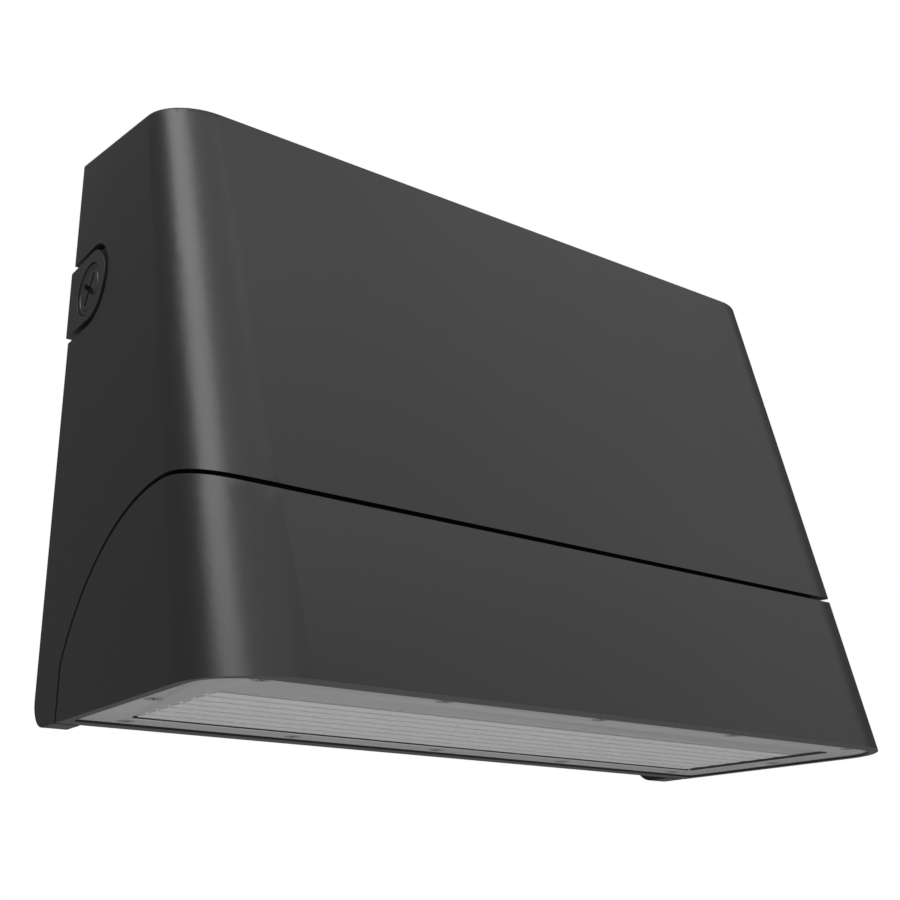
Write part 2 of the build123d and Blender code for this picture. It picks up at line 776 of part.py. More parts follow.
with BuildPart() as bracket_screws:
    with BuildSketch(facing.offset(bracket_back_depth - small_head_height)):
        with Locations((0, bracket_middle)):
            with GridLocations(post_spacing_x, post_spacing_z, 2, 2):
                Circle(small_head_radius)
    extrude(amount=small_head_height)
    with BuildSketch(facing.offset(bracket_back_depth)):
        with Locations((0, bracket_middle)):
            with GridLocations(post_spacing_x, post_spacing_z, 2, 2):
                Circle(small_screw_radius)
    extrude(amount=small_screw_length)
bracket_screws.part.label = "bracket_screws"

with BuildPart() as driver:
    with BuildSketch(facing.offset(bracket_back_depth - driver_thickness)):
        with Locations((driver_offset, bracket_middle)):
            RectangleRounded(driver_length, driver_height, driver_edge_radius)
    extrude(amount=driver_thickness)
    with BuildSketch(facing.offset(bracket_back_depth - driver_tab_thickness)):
        with Locations((driver_offset, bracket_middle)):
            Rectangle(driver_length + 2 * driver_tab_length, driver_height / 2)
            with GridLocations(driver_length + driver_tab_length, 0, 2, 1):
                Circle(small_screw_radius, mode=Mode.SUBTRACT)
    extrude(amount=driver_tab_thickness)
driver.part.label = "driver"

with BuildPart() as driver_screws:
    tab_face_depth = bracket_back_depth - driver_tab_thickness
    with BuildSketch(facing.offset(tab_face_depth - small_head_height)):
        with Locations((driver_offset, bracket_middle)):
            with GridLocations(driver_length + driver_tab_length, 0, 2, 1):
                Circle(small_head_radius)
    extrude(amount=small_head_height)
    with BuildSketch(facing.offset(tab_face_depth)):
        with Locations((driver_offset, bracket_middle)):
            with GridLocations(driver_length + driver_tab_length, 0, 2, 1):
                Circle(small_screw_radius)
    extrude(amount=driver_tab_thickness + bracket_thickness + overshoot)
driver_screws.part.label = "driver_screws"

with BuildPart() as surge_protector:
    with BuildSketch(facing.offset(bracket_back_depth - surge_thickness)):
        with Locations((surge_offset, bracket_middle)):
            RectangleRounded(surge_length, surge_height, driver_edge_radius)
    extrude(amount=surge_thickness)
surge_protector.part.label = "surge_protector"

# ---------------------------------------------------------------- lens frame
with BuildPart() as lens_frame:
    add(outer_form.part)
    extrude(below_seam(seam_gap, leg_depth + seam_gap, -leg_depth).sketch, amount=far, both=True,
            mode=Mode.INTERSECT)
    # chamber of the light engine, above the ledge that the lens is screwed to
    add(engine_space.part, mode=Mode.SUBTRACT)
    # posts for the carrier, and bosses for the frame screws
    for post_depth in (carrier_post_back_depth, carrier_post_front_depth):
        post_top = seam_height(post_depth, seam_gap + frame_wall / 2)
        with BuildSketch(plan.offset(carrier_top_height)):
            with Locations((0, -post_depth)):
                with GridLocations(carrier_post_spacing, 0, 2, 1):
                    Circle(post_radius)
        extrude(amount=post_top - carrier_top_height)
        with BuildSketch(plan.offset(carrier_top_height)):
            with Locations((0, -post_depth)):
                with GridLocations(carrier_post_spacing, 0, 2, 1):
                    Circle(small_screw_radius)
        extrude(amount=small_screw_length, mode=Mode.SUBTRACT)
    frame_screw_middle = (frame_screw_back_depth + frame_screw_front_depth) / 2
    frame_screw_pitch = frame_screw_front_depth - frame_screw_back_depth
    with BuildSketch(plan.offset(frame_boss_bottom_height)):
        with Locations((0, -frame_screw_middle)):
            with GridLocations(frame_screw_spacing, frame_screw_pitch, 2, 2):
                Circle(frame_boss_radius)
    extrude(amount=frame_boss_top_height - frame_boss_bottom_height)
    with BuildSketch(plan.offset(frame_boss_bottom_height + small_screw_radius)):
        with Locations((0, -frame_screw_middle)):
            with GridLocations(frame_screw_spacing, frame_screw_pitch, 2, 2):
                Circle(frame_screw_radius)
            Circle(frame_wire_hole_radius)
    extrude(amount=seam_crown_height, mode=Mode.SUBTRACT)
    # rebate and window for the lens
    extrude(
        plan_rectangle(0, half_width - rebate_side_rim, rebate_back_depth, rebate_front_depth,
                       rebate_back_radius, rebate_front_radius).sketch,
        amount=rebate_height, mode=Mode.SUBTRACT,
    )
    extrude(
        plan_rectangle(0, window_width / 2, window_back_depth, window_front_depth,
                       window_radius, window_radius).sketch,
        amount=ledge_top_height, mode=Mode.SUBTRACT,
    )
    # holes for the lens screws
    with BuildSketch(plan.offset(rebate_height)):
        with Locations(*lens_screw_places()):
            Circle(lens_screw_radius)
    extrude(amount=ledge_thickness, mode=Mode.SUBTRACT)
    # hole for the breather vent
    with BuildSketch(facing.offset(leg_depth + seam_gap)):
        with Locations((vent_x, vent_height)):
            Circle(vent_radius)
    extrude(amount=frame_wall, mode=Mode.SUBTRACT)
lens_frame.part.label = "lens_frame"

with BuildPart() as vent:
    frame_back_depth = leg_depth + seam_gap
    with BuildSketch(facing.offset(frame_back_depth - vent_head_thickness)):
        with Locations((vent_x, vent_height)):
            Circle(vent_head_radius)
    extrude(amount=vent_head_thickness)
    with BuildSketch(facing.offset(frame_back_depth)):
        with Locations((vent_x, vent_height)):
            Circle(vent_radius)
    extrude(amount=frame_wall)
vent.part.label = "vent"

with BuildPart() as frame_gasket:
    extrude(below_seam(seal_clearance, frame_gasket_back_depth, 0).sketch, amount=far, both=True)
    extrude(below_seam(seam_gap - seal_clearance, leg_depth + seam_gap, -leg_depth).sketch, amount=far, both=True,
            mode=Mode.SUBTRACT)
    seal_outer_x = half_width - frame_gasket_edge
    extrude(plan_rectangle(0, seal_outer_x, frame_gasket_back_depth, frame_gasket_front_depth, 0,
                           frame_gasket_radius).sketch,
            amount=back_height, mode=Mode.INTERSECT)
    extrude(plan_rectangle(0, seal_outer_x - frame_gasket_width,
                           frame_gasket_back_depth + frame_gasket_width,
                           frame_gasket_front_depth - frame_gasket_width, 0,
                           frame_gasket_radius - frame_gasket_width).sketch,
            amount=back_height, mode=Mode.SUBTRACT)
frame_gasket.part.label = "frame_gasket"

with BuildPart() as frame_screws:
    with BuildSketch(plan.offset(housing_pad_height)):
        with Locations((0, -frame_screw_middle)):
            with GridLocations(frame_screw_spacing, frame_screw_pitch, 2, 2):
                Circle(frame_screw_head_radius)
    extrude(amount=frame_screw_head_height)
    with BuildSketch(plan.offset(frame_boss_bottom_height + small_screw_radius)):
        with Locations((0, -frame_screw_middle)):
            with GridLocations(frame_screw_spacing, frame_screw_pitch, 2, 2):
                Circle(frame_screw_radius)
    extrude(amount=housing_pad_height - frame_boss_bottom_height - small_screw_radius)
frame_screws.part.label = "frame_screws"

# ---------------------------------------------------------------- lens and its screws
lens_half_width = half_width - rebate_side_rim - lens_clearance
lens_back_depth = rebate_back_depth + lens_clearance
lens_front_depth = rebate_front_depth - lens_clearance
field_half_width = window_width / 2 - lens_field_clearance
field_back_depth = window_back_depth + lens_field_clearance
field_front_depth = window_front_depth - lens_field_clearance
field_rim = lens_field_step

with BuildPart() as lens:
    extrude(
        plan_rectangle(lens_recess, lens_half_width, lens_back_depth, lens_front_depth,
                       rebate_back_radius - lens_clearance, rebate_front_radius - lens_clearance).sketch,
        amount=lens_flange_thickness,
    )
    extrude(
        plan_rectangle(field_height, field_half_width, field_back_depth, field_front_depth,
                       window_radius, window_radius).sketch,
        amount=lens_field_thickness,
    )
    extrude(
        plan_rectangle(lens_recess, field_half_width - field_rim, field_back_depth + field_rim,
                       field_front_depth - field_rim, window_radius, window_radius).sketch,
        amount=lens_field_step, mode=Mode.SUBTRACT,
    )
    rib_half_width = field_half_width - field_rim - lens_rib_end_gap
    first_rib_depth = window_back_depth + lens_rib_first
    with BuildSketch(plan.offset(field_height)):
        for rib in range(lens_rib_count):
            with Locations((0, -(first_rib_depth + rib * lens_rib_pitch))):
                Rectangle(2 * rib_half_width, lens_rib_width)
    extrude(amount=-lens_rib_height)
    with Locations(*[plan.offset(lens_recess) * Location((x, y, 0)) for x, y in lens_screw_places()]):
        Cone(
            lens_screw_head_radius + lens_hole_clearance,
            lens_screw_radius + lens_hole_clearance,
            lens_screw_head_radius - lens_screw_radius,
            align=(Align.CENTER, Align.CENTER, Align.MIN),
            mode=Mode.SUBTRACT,
        )
        Cylinder(
            lens_screw_radius + lens_hole_clearance,
            lens_flange_thickness,
            align=(Align.CENTER, Align.CENTER, Align.MIN),
            mode=Mode.SUBTRACT,
        )
lens.part.label = "lens"

with BuildPart() as lens_screws:
    with Locations(*[plan.offset(lens_recess) * Location((x, y, 0)) for x, y in lens_screw_places()]):
        Cone(
            lens_screw_head_radius,
            lens_screw_radius,
            lens_screw_head_radius - lens_screw_radius,
            align=(Align.CENTER, Align.CENTER, Align.MIN),
        )
        Cylinder(lens_screw_radius, lens_screw_length, align=(Align.CENTER, Align.CENTER, Align.MIN))
lens_screws.part.label = "lens_screws"

with BuildPart() as lens_gasket:
    extrude(
        plan_rectangle(flange_top_height, lens_half_width, lens_back_depth, lens_front_depth,
                       rebate_back_radius - lens_clearance, rebate_front_radius - lens_clearance).sketch,
        amount=rebate_height - flange_top_height,
    )
    extrude(
        plan_rectangle(flange_top_height, window_width / 2, window_back_depth, window_front_depth,
                       window_radius, window_radius).sketch,
        amount=lens_flange_thickness, mode=Mode.SUBTRACT,
    )
    with BuildSketch(plan.offset(flange_top_height)):
        with Locations(*lens_screw_places()):
            Circle(lens_screw_radius)
    extrude(amount=lens_flange_thickness, mode=Mode.SUBTRACT)
lens_gasket.part.label = "lens_gasket"

# ---------------------------------------------------------------- light engine
with BuildPart() as carrier:
    extrude(plan_rectangle(carrier_bottom_height, carrier_width / 2, carrier_back_depth,
                           carrier_front_depth, window_radius, window_radius).sketch,
            amount=carrier_thickness)
    carrier_post_middle = (carrier_post_back_depth + carrier_post_front_depth) / 2
    carrier_post_pitch = carrier_post_front_depth - carrier_post_back_depth
    with BuildSketch(plan.offset(carrier_bottom_height)):
        with Locations((0, -carrier_post_middle)):
            with GridLocations(carrier_post_spacing, carrier_post_pitch, 2, 2):
                Circle(small_screw_radius)
        with Locations((0, -board_centre_depth)):
            with GridLocations(board_length + board_gap, 0, 2, 1):
                with GridLocations(board_length - 2 * board_screw_inset, 0, 2, 1):
                    Circle(board_screw_radius)
    extrude(amount=carrier_thickness, mode=Mode.SUBTRACT)
carrier.part.label = "carrier"

with BuildPart() as carrier_screws:
    with BuildSketch(plan.offset(carrier_bottom_height - small_head_height)):
        with Locations((0, -carrier_post_middle)):
            with GridLocations(carrier_post_spacing, carrier_post_pitch, 2, 2):
                Circle(small_head_radius)
    extrude(amount=small_head_height)
    with BuildSketch(plan.offset(carrier_bottom_height)):
        with Locations((0, -carrier_post_middle)):
            with GridLocations(carrier_post_spacing, carrier_post_pitch, 2, 2):
                Circle(small_screw_radius)
    extrude(amount=small_screw_length)
carrier_screws.part.label = "carrier_screws"

with BuildPart() as led_boards:
    with BuildSketch(plan.offset(board_bottom_height)):
        with Locations((0, -board_centre_depth)):
            with GridLocations(board_length + board_gap, 0, 2, 1):
                Rectangle(board_length, board_width)
                with GridLocations(board_length - 2 * board_screw_inset, 0, 2, 1):
                    Circle(board_screw_radius, mode=Mode.SUBTRACT)
    extrude(amount=board_thickness)
led_boards.part.label = "led_boards"

with BuildPart() as board_screws:
    with BuildSketch(plan.offset(board_bottom_height - board_head_height)):
        with Locations((0, -board_centre_depth)):
            with GridLocations(board_length + board_gap, 0, 2, 1):
                with GridLocations(board_length - 2 * board_screw_inset, 0, 2, 1):
                    Circle(board_head_radius)
    extrude(amount=board_head_height)
    with BuildSketch(plan.offset(board_bottom_height)):
        with Locations((0, -board_centre_depth)):
            with GridLocations(board_length + board_gap, 0, 2, 1):
                with GridLocations(board_length - 2 * board_screw_inset, 0, 2, 1):
                    Circle(board_screw_radius)
    extrude(amount=board_thickness + carrier_thickness)
board_screws.part.label = "board_screws"

with BuildPart() as leds:
    with BuildSketch(plan.offset(led_bottom_height)):
        with Locations((0, -board_centre_depth)):
            with GridLocations(board_length + board_gap, 0, 2, 1):
                with GridLocations(led_pitch_x, led_pitch_y, led_columns, led_rows):
                    Rectangle(led_size, led_size)
    extrude(amount=led_height)
leds.part.label = "leds"

with BuildPart() as reflector:
    reflector_bottom_height = field_top_height + reflector_lens_gap
    reflector_bottom_half = window_width / 2 - reflector_bottom_gap
    reflector_bottom_back = window_back_depth + reflector_bottom_gap
    reflector_bottom_front = window_front_depth - reflector_bottom_gap
    for inset, mode in ((0, Mode.ADD), (reflector_thickness, Mode.SUBTRACT)):
        loft(
            [
                plan_rectangle(reflector_bottom_height, reflector_bottom_half - inset,
                               reflector_bottom_back + inset, reflector_bottom_front - inset).sketch,
                plan_rectangle(board_bottom_height - inset, reflector_top_width / 2 - inset,
                               reflector_top_back_depth + inset, reflector_top_front_depth - inset).sketch,
            ],
            ruled=True,
            mode=mode,
        )
    with BuildSketch(plan.offset(board_bottom_height)):
        with Locations((0, -board_centre_depth)):
            with GridLocations(board_length + board_gap, 0, 2, 1):
                Rectangle(board_length - 2 * reflector_window_margin, board_width - 2 * reflector_window_margin)
    extrude(amount=-reflector_thickness, mode=Mode.SUBTRACT)
reflector.part.label = "reflector"

# ---------------------------------------------------------------- write one file for each piece
pieces = [
    wall_box, wall_gasket, wire_grommet, conduit_plug_left, conduit_plug_right, plug_seals, hinge_pins,
    terminal_block, terminal_screws, ground_screw, housing, housing_gasket, closing_screws, closing_washers,
    closing_nuts, bracket, bracket_screws, driver, driver_screws, surge_protector, lens_frame, vent,
    frame_gasket, frame_screws, lens, lens_screws, lens_gasket, carrier, carrier_screws, led_boards,
    board_screws, leds, reflector,
]
os.makedirs("parts", exist_ok=True)
for piece in pieces:
    export_step(piece.part, f"parts/{piece.part.label}.step")
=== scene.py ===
"""A wall pack light: finishes, fine shapes, floor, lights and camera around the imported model.

Metres, in the row frame: the origin is the middle of the junction-box pattern on the wall, +Z is up,
+X is to the right of someone who faces the light, and the wall is at +Y.
"""

from math import atan2, cos, pi, radians, sin

import bmesh
import bpy
from mathutils import Matrix, Quaternion, Vector


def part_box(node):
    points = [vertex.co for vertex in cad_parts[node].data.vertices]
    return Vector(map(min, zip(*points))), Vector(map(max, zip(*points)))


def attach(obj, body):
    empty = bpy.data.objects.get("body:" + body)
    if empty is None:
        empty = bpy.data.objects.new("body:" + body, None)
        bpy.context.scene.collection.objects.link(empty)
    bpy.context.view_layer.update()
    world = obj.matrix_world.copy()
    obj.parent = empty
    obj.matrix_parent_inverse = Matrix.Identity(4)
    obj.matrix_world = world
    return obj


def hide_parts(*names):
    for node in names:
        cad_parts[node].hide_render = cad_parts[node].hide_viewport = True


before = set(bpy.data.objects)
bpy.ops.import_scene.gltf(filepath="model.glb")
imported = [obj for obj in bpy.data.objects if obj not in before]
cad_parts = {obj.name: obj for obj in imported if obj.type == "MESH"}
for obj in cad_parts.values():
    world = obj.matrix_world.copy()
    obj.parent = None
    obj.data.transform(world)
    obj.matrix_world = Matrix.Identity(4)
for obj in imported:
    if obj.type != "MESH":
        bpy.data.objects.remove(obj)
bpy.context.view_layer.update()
collection = bpy.context.scene.collection

# ================================================================ wall box
# A die-cast aluminium tray that is screwed to the junction box through the slots in its back. It is
# powder coated in a dark, slightly glossy grey whose skin has the faint waviness of baked powder.
# Its apron carries the two lugs that the front of the light swings on.

coat_colour = (0.021, 0.021, 0.0213)
coat_colour_thin = (0.025, 0.025, 0.0253)
coat_wave = 0.0032           # from crest to crest of the powder's waviness
coat_speck = 0.0004
cast_edge_radius = 0.0004
same_point = 1e-6             # corners of a solid that are closer are one
flat_angle = radians(0.4)     # faces that turn less are one
sharp_angle = 30.0            # degrees, over which an edge is eased


def add_node(tree, kind, inputs=None, **settings):
    """Put a node in a tree. An input is a value, or the output of another node to join to it."""
    node = tree.nodes.new(kind)
    for name, value in settings.items():
        setattr(node, name, value)
    for name, value in (inputs or {}).items():
        if isinstance(value, bpy.types.NodeSocket):
            tree.links.new(value, node.inputs[name])
        else:
            node.inputs[name].default_value = value
    return node


def new_group(name, kind, inputs, outputs):
    """A node group with named sockets, each given as (name, socket type, value)."""
    group = bpy.data.node_groups.new(name, kind)
    for direction, sockets in (("INPUT", inputs), ("OUTPUT", outputs)):
        for label, socket_type, value in sockets:
            socket = group.interface.new_socket(label, in_out=direction, socket_type=socket_type)
            if value is not None:
                socket.default_value = value
    return group, group.nodes.new("NodeGroupInput"), group.nodes.new("NodeGroupOutput")


def make_grain_group():
    """Fine grain of a coated, moulded or cast skin: a broad unevenness and small specks on it."""
    group, source, result = new_group(
        "surface_grain",
        "ShaderNodeTree",
        [
            ("Vector", "NodeSocketVector", None),
            ("Wave", "NodeSocketFloat", coat_wave),
            ("Speck", "NodeSocketFloat", coat_speck),
            ("Speck Share", "NodeSocketFloat", 0.25),
        ],
        [
            ("Tone", "NodeSocketFloat", None),
            ("Height", "NodeSocketFloat", None),
        ],
    )
    wave_scale = add_node(group, "ShaderNodeMath", {0: 1.0, 1: source.outputs["Wave"]}, operation="DIVIDE")
    speck_scale = add_node(group, "ShaderNodeMath", {0: 1.0, 1: source.outputs["Speck"]}, operation="DIVIDE")
    wave = add_node(group, "ShaderNodeTexNoise", {
        "Vector": source.outputs["Vector"], "Scale": wave_scale.outputs[0], "Detail": 2.0, "Roughness": 0.45,
    })
    speck = add_node(group, "ShaderNodeTexNoise", {
        "Vector": source.outputs["Vector"], "Scale": speck_scale.outputs[0], "Detail": 1.0, "Roughness": 0.5,
    })
    mixed = add_node(group, "ShaderNodeMix", {
        0: source.outputs["Speck Share"], 2: wave.outputs[0], 3: speck.outputs[0],
    }, data_type="FLOAT")
    broad = add_node(group, "ShaderNodeTexNoise", {
        "Vector": source.outputs["Vector"], "Scale": 11.0, "Detail": 3.0, "Roughness": 0.55,
    })
    tone = add_node(group, "ShaderNodeMix", {
        0: 0.35, 2: broad.outputs[0], 3: speck.outputs[0],
    }, data_type="FLOAT")
    group.links.new(tone.outputs[0], result.inputs["Tone"])
    group.links.new(mixed.outputs[0], result.inputs["Height"])
    return group


surface_grain = make_grain_group()


def make_finish(name, light, dark, roughness, grain, relief, metallic=0.0, stretch=(1.0, 1.0, 1.0)):
    """A finish that varies between two tones and two roughnesses with its own grain.

    The grain is its wave, its speck and the specks' share. The relief is the grain's height.
    """
    material = bpy.data.materials.new(name)
    material.use_nodes = True
    tree = material.node_tree
    shader = tree.nodes["Principled BSDF"]
    shader.inputs["Metallic"].default_value = metallic
    place = add_node(tree, "ShaderNodeTexCoord")
    mapping = add_node(tree, "ShaderNodeMapping", {"Vector": place.outputs["Object"], "Scale": stretch})
    skin = tree.nodes.new("ShaderNodeGroup")
    skin.node_tree = surface_grain
    tree.links.new(mapping.outputs[0], skin.inputs["Vector"])
    for label, value in zip(("Wave", "Speck", "Speck Share"), grain):
        skin.inputs[label].default_value = value
    colour = add_node(tree, "ShaderNodeMix", data_type="RGBA")
    tree.links.new(skin.outputs["Tone"], colour.inputs[0])
    colour.inputs[6].default_value = (*dark, 1.0)
    colour.inputs[7].default_value = (*light, 1.0)
    tree.links.new(colour.outputs[2], shader.inputs["Base Color"])
    gloss = add_node(tree, "ShaderNodeMapRange", {
        "Value": skin.outputs["Tone"], "From Min": 0.3, "From Max": 0.7,
        "To Min": roughness[0], "To Max": roughness[1],
    })
    tree.links.new(gloss.outputs[0], shader.inputs["Roughness"])
    bump = add_node(tree, "ShaderNodeBump", {
        "Height": skin.outputs["Height"], "Distance": relief, "Strength": 1.0,
    })
    tree.links.new(bump.outputs[0], shader.inputs["Normal"])
    return material


def principled(material):
    """The main shader of a finish."""
    return material.node_tree.nodes["Principled BSDF"]


def plain_mesh(piece):
    """Turn a piece with modifiers into a plain mesh of the same name."""
    bpy.context.view_layer.update()
    evaluated = piece.evaluated_get(bpy.context.evaluated_depsgraph_get())
    mesh = bpy.data.meshes.new_from_object(evaluated)
    mesh.name = piece.name
    piece.modifiers.clear()
    piece.data = mesh
    return piece


def merged_shape(node):
    """The shape of a node, with the corners that lie on each other made one."""
    shape = bmesh.new()
    shape.from_mesh(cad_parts[node].data)
    bmesh.ops.remove_doubles(shape, verts=shape.verts, dist=same_point)
    return shape


def smooth_piece(name, shape, sharp):
    """A piece from a shape, smooth but for the edges that turn more than an angle in degrees."""
    mesh = bpy.data.meshes.new(name)
    shape.to_mesh(mesh)
    shape.free()
    for face in mesh.polygons:
        face.use_smooth = True
    mesh.set_sharp_from_angle(angle=radians(sharp))
    piece = bpy.data.objects.new(name, mesh)
    collection.objects.link(piece)
    return piece


def fine_copy(name, node, edge_radius):
    """A merged copy of a solid, with its sharp edges eased to a small radius."""
    shape = merged_shape(node)
    bmesh.ops.dissolve_limit(shape, angle_limit=flat_angle, verts=shape.verts, edges=shape.edges)
    piece = smooth_piece(name, shape, sharp_angle)
    easing = piece.modifiers.new("eased_edges", "BEVEL")
    easing.width = edge_radius
    easing.segments = 2
    easing.limit_method = "ANGLE"
    easing.angle_limit = radians(sharp_angle)
    easing.harden_normals = True
    return plain_mesh(piece)


def set_in_place(piece, body, slot, material, *nodes):
    """Give a finished piece its finish, its body and the solids that it stands for."""
    piece.data.materials.clear()
    piece.data.materials.append(material)
    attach(piece, body)
    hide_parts(*nodes)
    return piece


powder_coat = make_finish(
    "powder_coat", coat_colour_thin, coat_colour, (0.34, 0.40), (coat_wave, coat_speck, 0.2), 0.00002,
)
wall_box = fine_copy("wall_box_casting", "wall_box", cast_edge_radius)
set_in_place(wall_box, "wall_box", "painted_casting", powder_coat, "wall_box")

# ================================================================ foam seal on the wall side
# A loop of closed-cell foam pressed into the groove in the wall box's back. It seals the junction box
# from the weather, stands level with the casting, and is held by its own stickiness.

foam = make_finish(
    "foam", (0.030, 0.030, 0.031), (0.016, 0.016, 0.017), (0.80, 0.95), (0.0016, 0.0005, 0.6), 0.00018,
)
wall_seal = fine_copy("foam_seal", "wall_gasket", 0.0003)
set_in_place(wall_seal, "wall_box", "black_rubber", foam, "wall_gasket")

# ================================================================ grommet in the wire hole
# A moulded rubber ring with a lip on the inside of the tray. The supply wires pass through it, and it
# keeps the cast edge of the hole from cutting them.


def reach(kind, size, angle):
    """How far an outline of a kind reaches from its middle at an angle."""
    if kind == "circle":
        return size
    if kind == "square":
        return size / max(abs(cos(angle)), abs(sin(angle)))
    if kind == "hexagon":
        return size / cos(angle % (pi / 3) - pi / 6)
    along = max(abs(cos(angle)), 1e-6)
    aside = max(abs(sin(angle)), 1e-6)
    bar = min(size[0] / along, size[1] / aside)
    if kind == "slot":
        return bar
    return max(bar, min(size[1] / along, size[0] / aside))


def ringed_shape(name, rings, hollow=False, sharp=32.0):
    """A shape of outlines stacked along Z, each (kind, size, height), either capped or joined up hollow."""
    marks = [step * pi / 24 for step in range(48)]
    for kind, size, height in rings:
        if kind in ("cross", "slot"):
            lean = atan2(size[1], size[0])
            marks += [(turn * pi / 2 + way * lean) % (2 * pi) for turn in range(4) for way in (-1, 1)]
    marks = sorted({round(mark, 5) for mark in marks})
    shape = bmesh.new()
    rows = []
    for kind, size, height in rings:
        row = []
        for mark in marks:
            far = reach(kind, size, mark)
            row.append(shape.verts.new((far * cos(mark), far * sin(mark), height)))
        rows.append(row)
    if hollow:
        rows.append(rows[0])
    for low_row, high_row in zip(rows, rows[1:]):
        for index in range(len(marks)):
            after = (index + 1) % len(marks)
            shape.faces.new((low_row[index], low_row[after], high_row[after], high_row[index]))
    if not hollow:
        shape.faces.new(list(reversed(rows[0])))
        shape.faces.new(rows[-1])
    bmesh.ops.recalc_face_normals(shape, faces=shape.faces)
    return smooth_piece(name, shape, sharp)


rubber = make_finish(
    "rubber", (0.022, 0.022, 0.022), (0.013, 0.013, 0.013), (0.50, 0.66), (0.003, 0.0004, 0.5), 0.00003,
)
grommet_low, grommet_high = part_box("wire_grommet")
grommet_outer = (grommet_high[0] - grommet_low[0]) / 2
grommet_length = grommet_high[1] - grommet_low[1]
grommet_bore = 0.0121
grommet_neck = 0.0159        # radius in the hole of the tray
grommet_lip = 0.0040         # along the neck, where the lip starts
grommet = ringed_shape("rubber_grommet", [
    ("circle", grommet_bore + 0.0005, 0.0), ("circle", grommet_neck - 0.0003, 0.0),
    ("circle", grommet_neck, 0.0004), ("circle", grommet_neck, grommet_lip),
    ("circle", grommet_outer, grommet_lip), ("circle", grommet_outer, grommet_lip + 0.0008),
    ("circle", grommet_outer - 0.0006, grommet_length), ("circle", grommet_bore + 0.0007, grommet_length),
    ("circle", grommet_bore, grommet_length - 0.0008), ("circle", grommet_bore, 0.0006),
], hollow=True)
grommet.data.transform(
    Matrix.Translation((0.0, grommet_high[1], (grommet_low[2] + grommet_high[2]) / 2))
    @ Matrix.Rotation(pi / 2, 4, "X")
)
set_in_place(grommet, "wall_box", "black_rubber", rubber, "wire_grommet")

# ================================================================ conduit plugs
# Two threaded plugs that close the conduit entries, coated like the castings. Each has a cross slot
# for a driver and a shallow ring turned in its face, and a groove for its seal.

plug_turn = radians(56.0)
plug_groove = (-0.0068, -0.0050)      # along the plug, where its seal lies
plug_groove_floor = 0.0092
plug_ring = (0.0082, 0.0091)          # inner and outer radius of the ring in its face
plug_ring_depth = 0.0003
plug_slot = (0.0069, 0.0012)          # half the length and half the width of an arm, at the face
plug_slot_floor = (0.0067, 0.0010)
plug_slot_depth = 0.0020
for side, sign in (("left", -1), ("right", 1)):
    node = "conduit_plug_" + side
    low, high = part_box(node)
    plug_radius = (high[2] - low[2]) / 2
    plug_length = high[0] - low[0]
    plug = ringed_shape(node + "_turned", [
        ("circle", plug_radius - 0.0006, -plug_length), ("circle", plug_radius, -plug_length + 0.0006),
        ("circle", plug_radius, plug_groove[0]), ("circle", plug_groove_floor, plug_groove[0]),
        ("circle", plug_groove_floor, plug_groove[1]), ("circle", plug_radius, plug_groove[1]),
        ("circle", plug_radius, -0.0005), ("circle", plug_radius - 0.0005, 0.0),
        ("circle", plug_ring[1], 0.0), ("circle", plug_ring[1] - 0.0002, -plug_ring_depth),
        ("circle", plug_ring[0] + 0.0002, -plug_ring_depth), ("circle", plug_ring[0], 0.0),
        ("cross", plug_slot, 0.0), ("cross", plug_slot_floor, -0.0003),
        ("cross", plug_slot_floor, -plug_slot_depth),
    ])
    plug.data.transform(
        Matrix.Translation((high[0] if sign > 0 else low[0], (low[1] + high[1]) / 2, (low[2] + high[2]) / 2))
        @ Matrix.Rotation(sign * pi / 2, 4, "Y") @ Matrix.Rotation(plug_turn, 4, "Z")
    )
    set_in_place(plug, "wall_box", "painted_casting", powder_coat, node)

# ================================================================ seals of the conduit plugs
# A rubber ring of round section in the groove of each plug, pressed against the bore of its entry so
# that no rain gets along the thread.


def make_set_out_tree():
    """Copies of a shape at each point, each turned at random about its own axis."""
    tree, source, result = new_group(
        "set_out",
        "GeometryNodeTree",
        [
            ("Geometry", "NodeSocketGeometry", None),
            ("Shape", "NodeSocketObject", None),
            ("Facing", "NodeSocketVector", (0.0, 0.0, 0.0)),
            ("Free Turn", "NodeSocketFloat", 0.0),
            ("Seed", "NodeSocketInt", 0),
            ("Material", "NodeSocketMaterial", None),
        ],
        [("Geometry", "NodeSocketGeometry", None)],
    )
    model = add_node(tree, "GeometryNodeObjectInfo", {"Object": source.outputs["Shape"]})
    copies = add_node(tree, "GeometryNodeInstanceOnPoints", {
        "Points": source.outputs["Geometry"], "Instance": model.outputs["Geometry"],
        "Rotation": source.outputs["Facing"],
    })
    chance = add_node(tree, "FunctionNodeRandomValue", {
        2: 0.0, 3: source.outputs["Free Turn"], "Seed": source.outputs["Seed"],
    }, data_type="FLOAT")
    about = add_node(tree, "ShaderNodeCombineXYZ", {"Z": chance.outputs[1]})
    spun = add_node(tree, "GeometryNodeRotateInstances", {
        "Instances": copies.outputs[0], "Rotation": about.outputs[0], "Local Space": True,
    })
    whole = add_node(tree, "GeometryNodeRealizeInstances", {"Geometry": spun.outputs[0]})
    finish = add_node(tree, "GeometryNodeSetMaterial", {
        "Geometry": whole.outputs[0], "Material": source.outputs["Material"],
    })
    tree.links.new(finish.outputs[0], result.inputs["Geometry"])
    return tree


set_out = make_set_out_tree()


def use_tree(piece, tree, **values):
    """Grow a piece with a tree of geometry nodes, and leave it a plain mesh."""
    grown = piece.modifiers.new(tree.name, "NODES")
    grown.node_group = tree
    sockets = {item.name: item.identifier for item in tree.interface.items_tree if item.in_out == "INPUT"}
    for label, value in values.items():
        grown[sockets[label.replace("_", " ")]] = value
    return plain_mesh(piece)


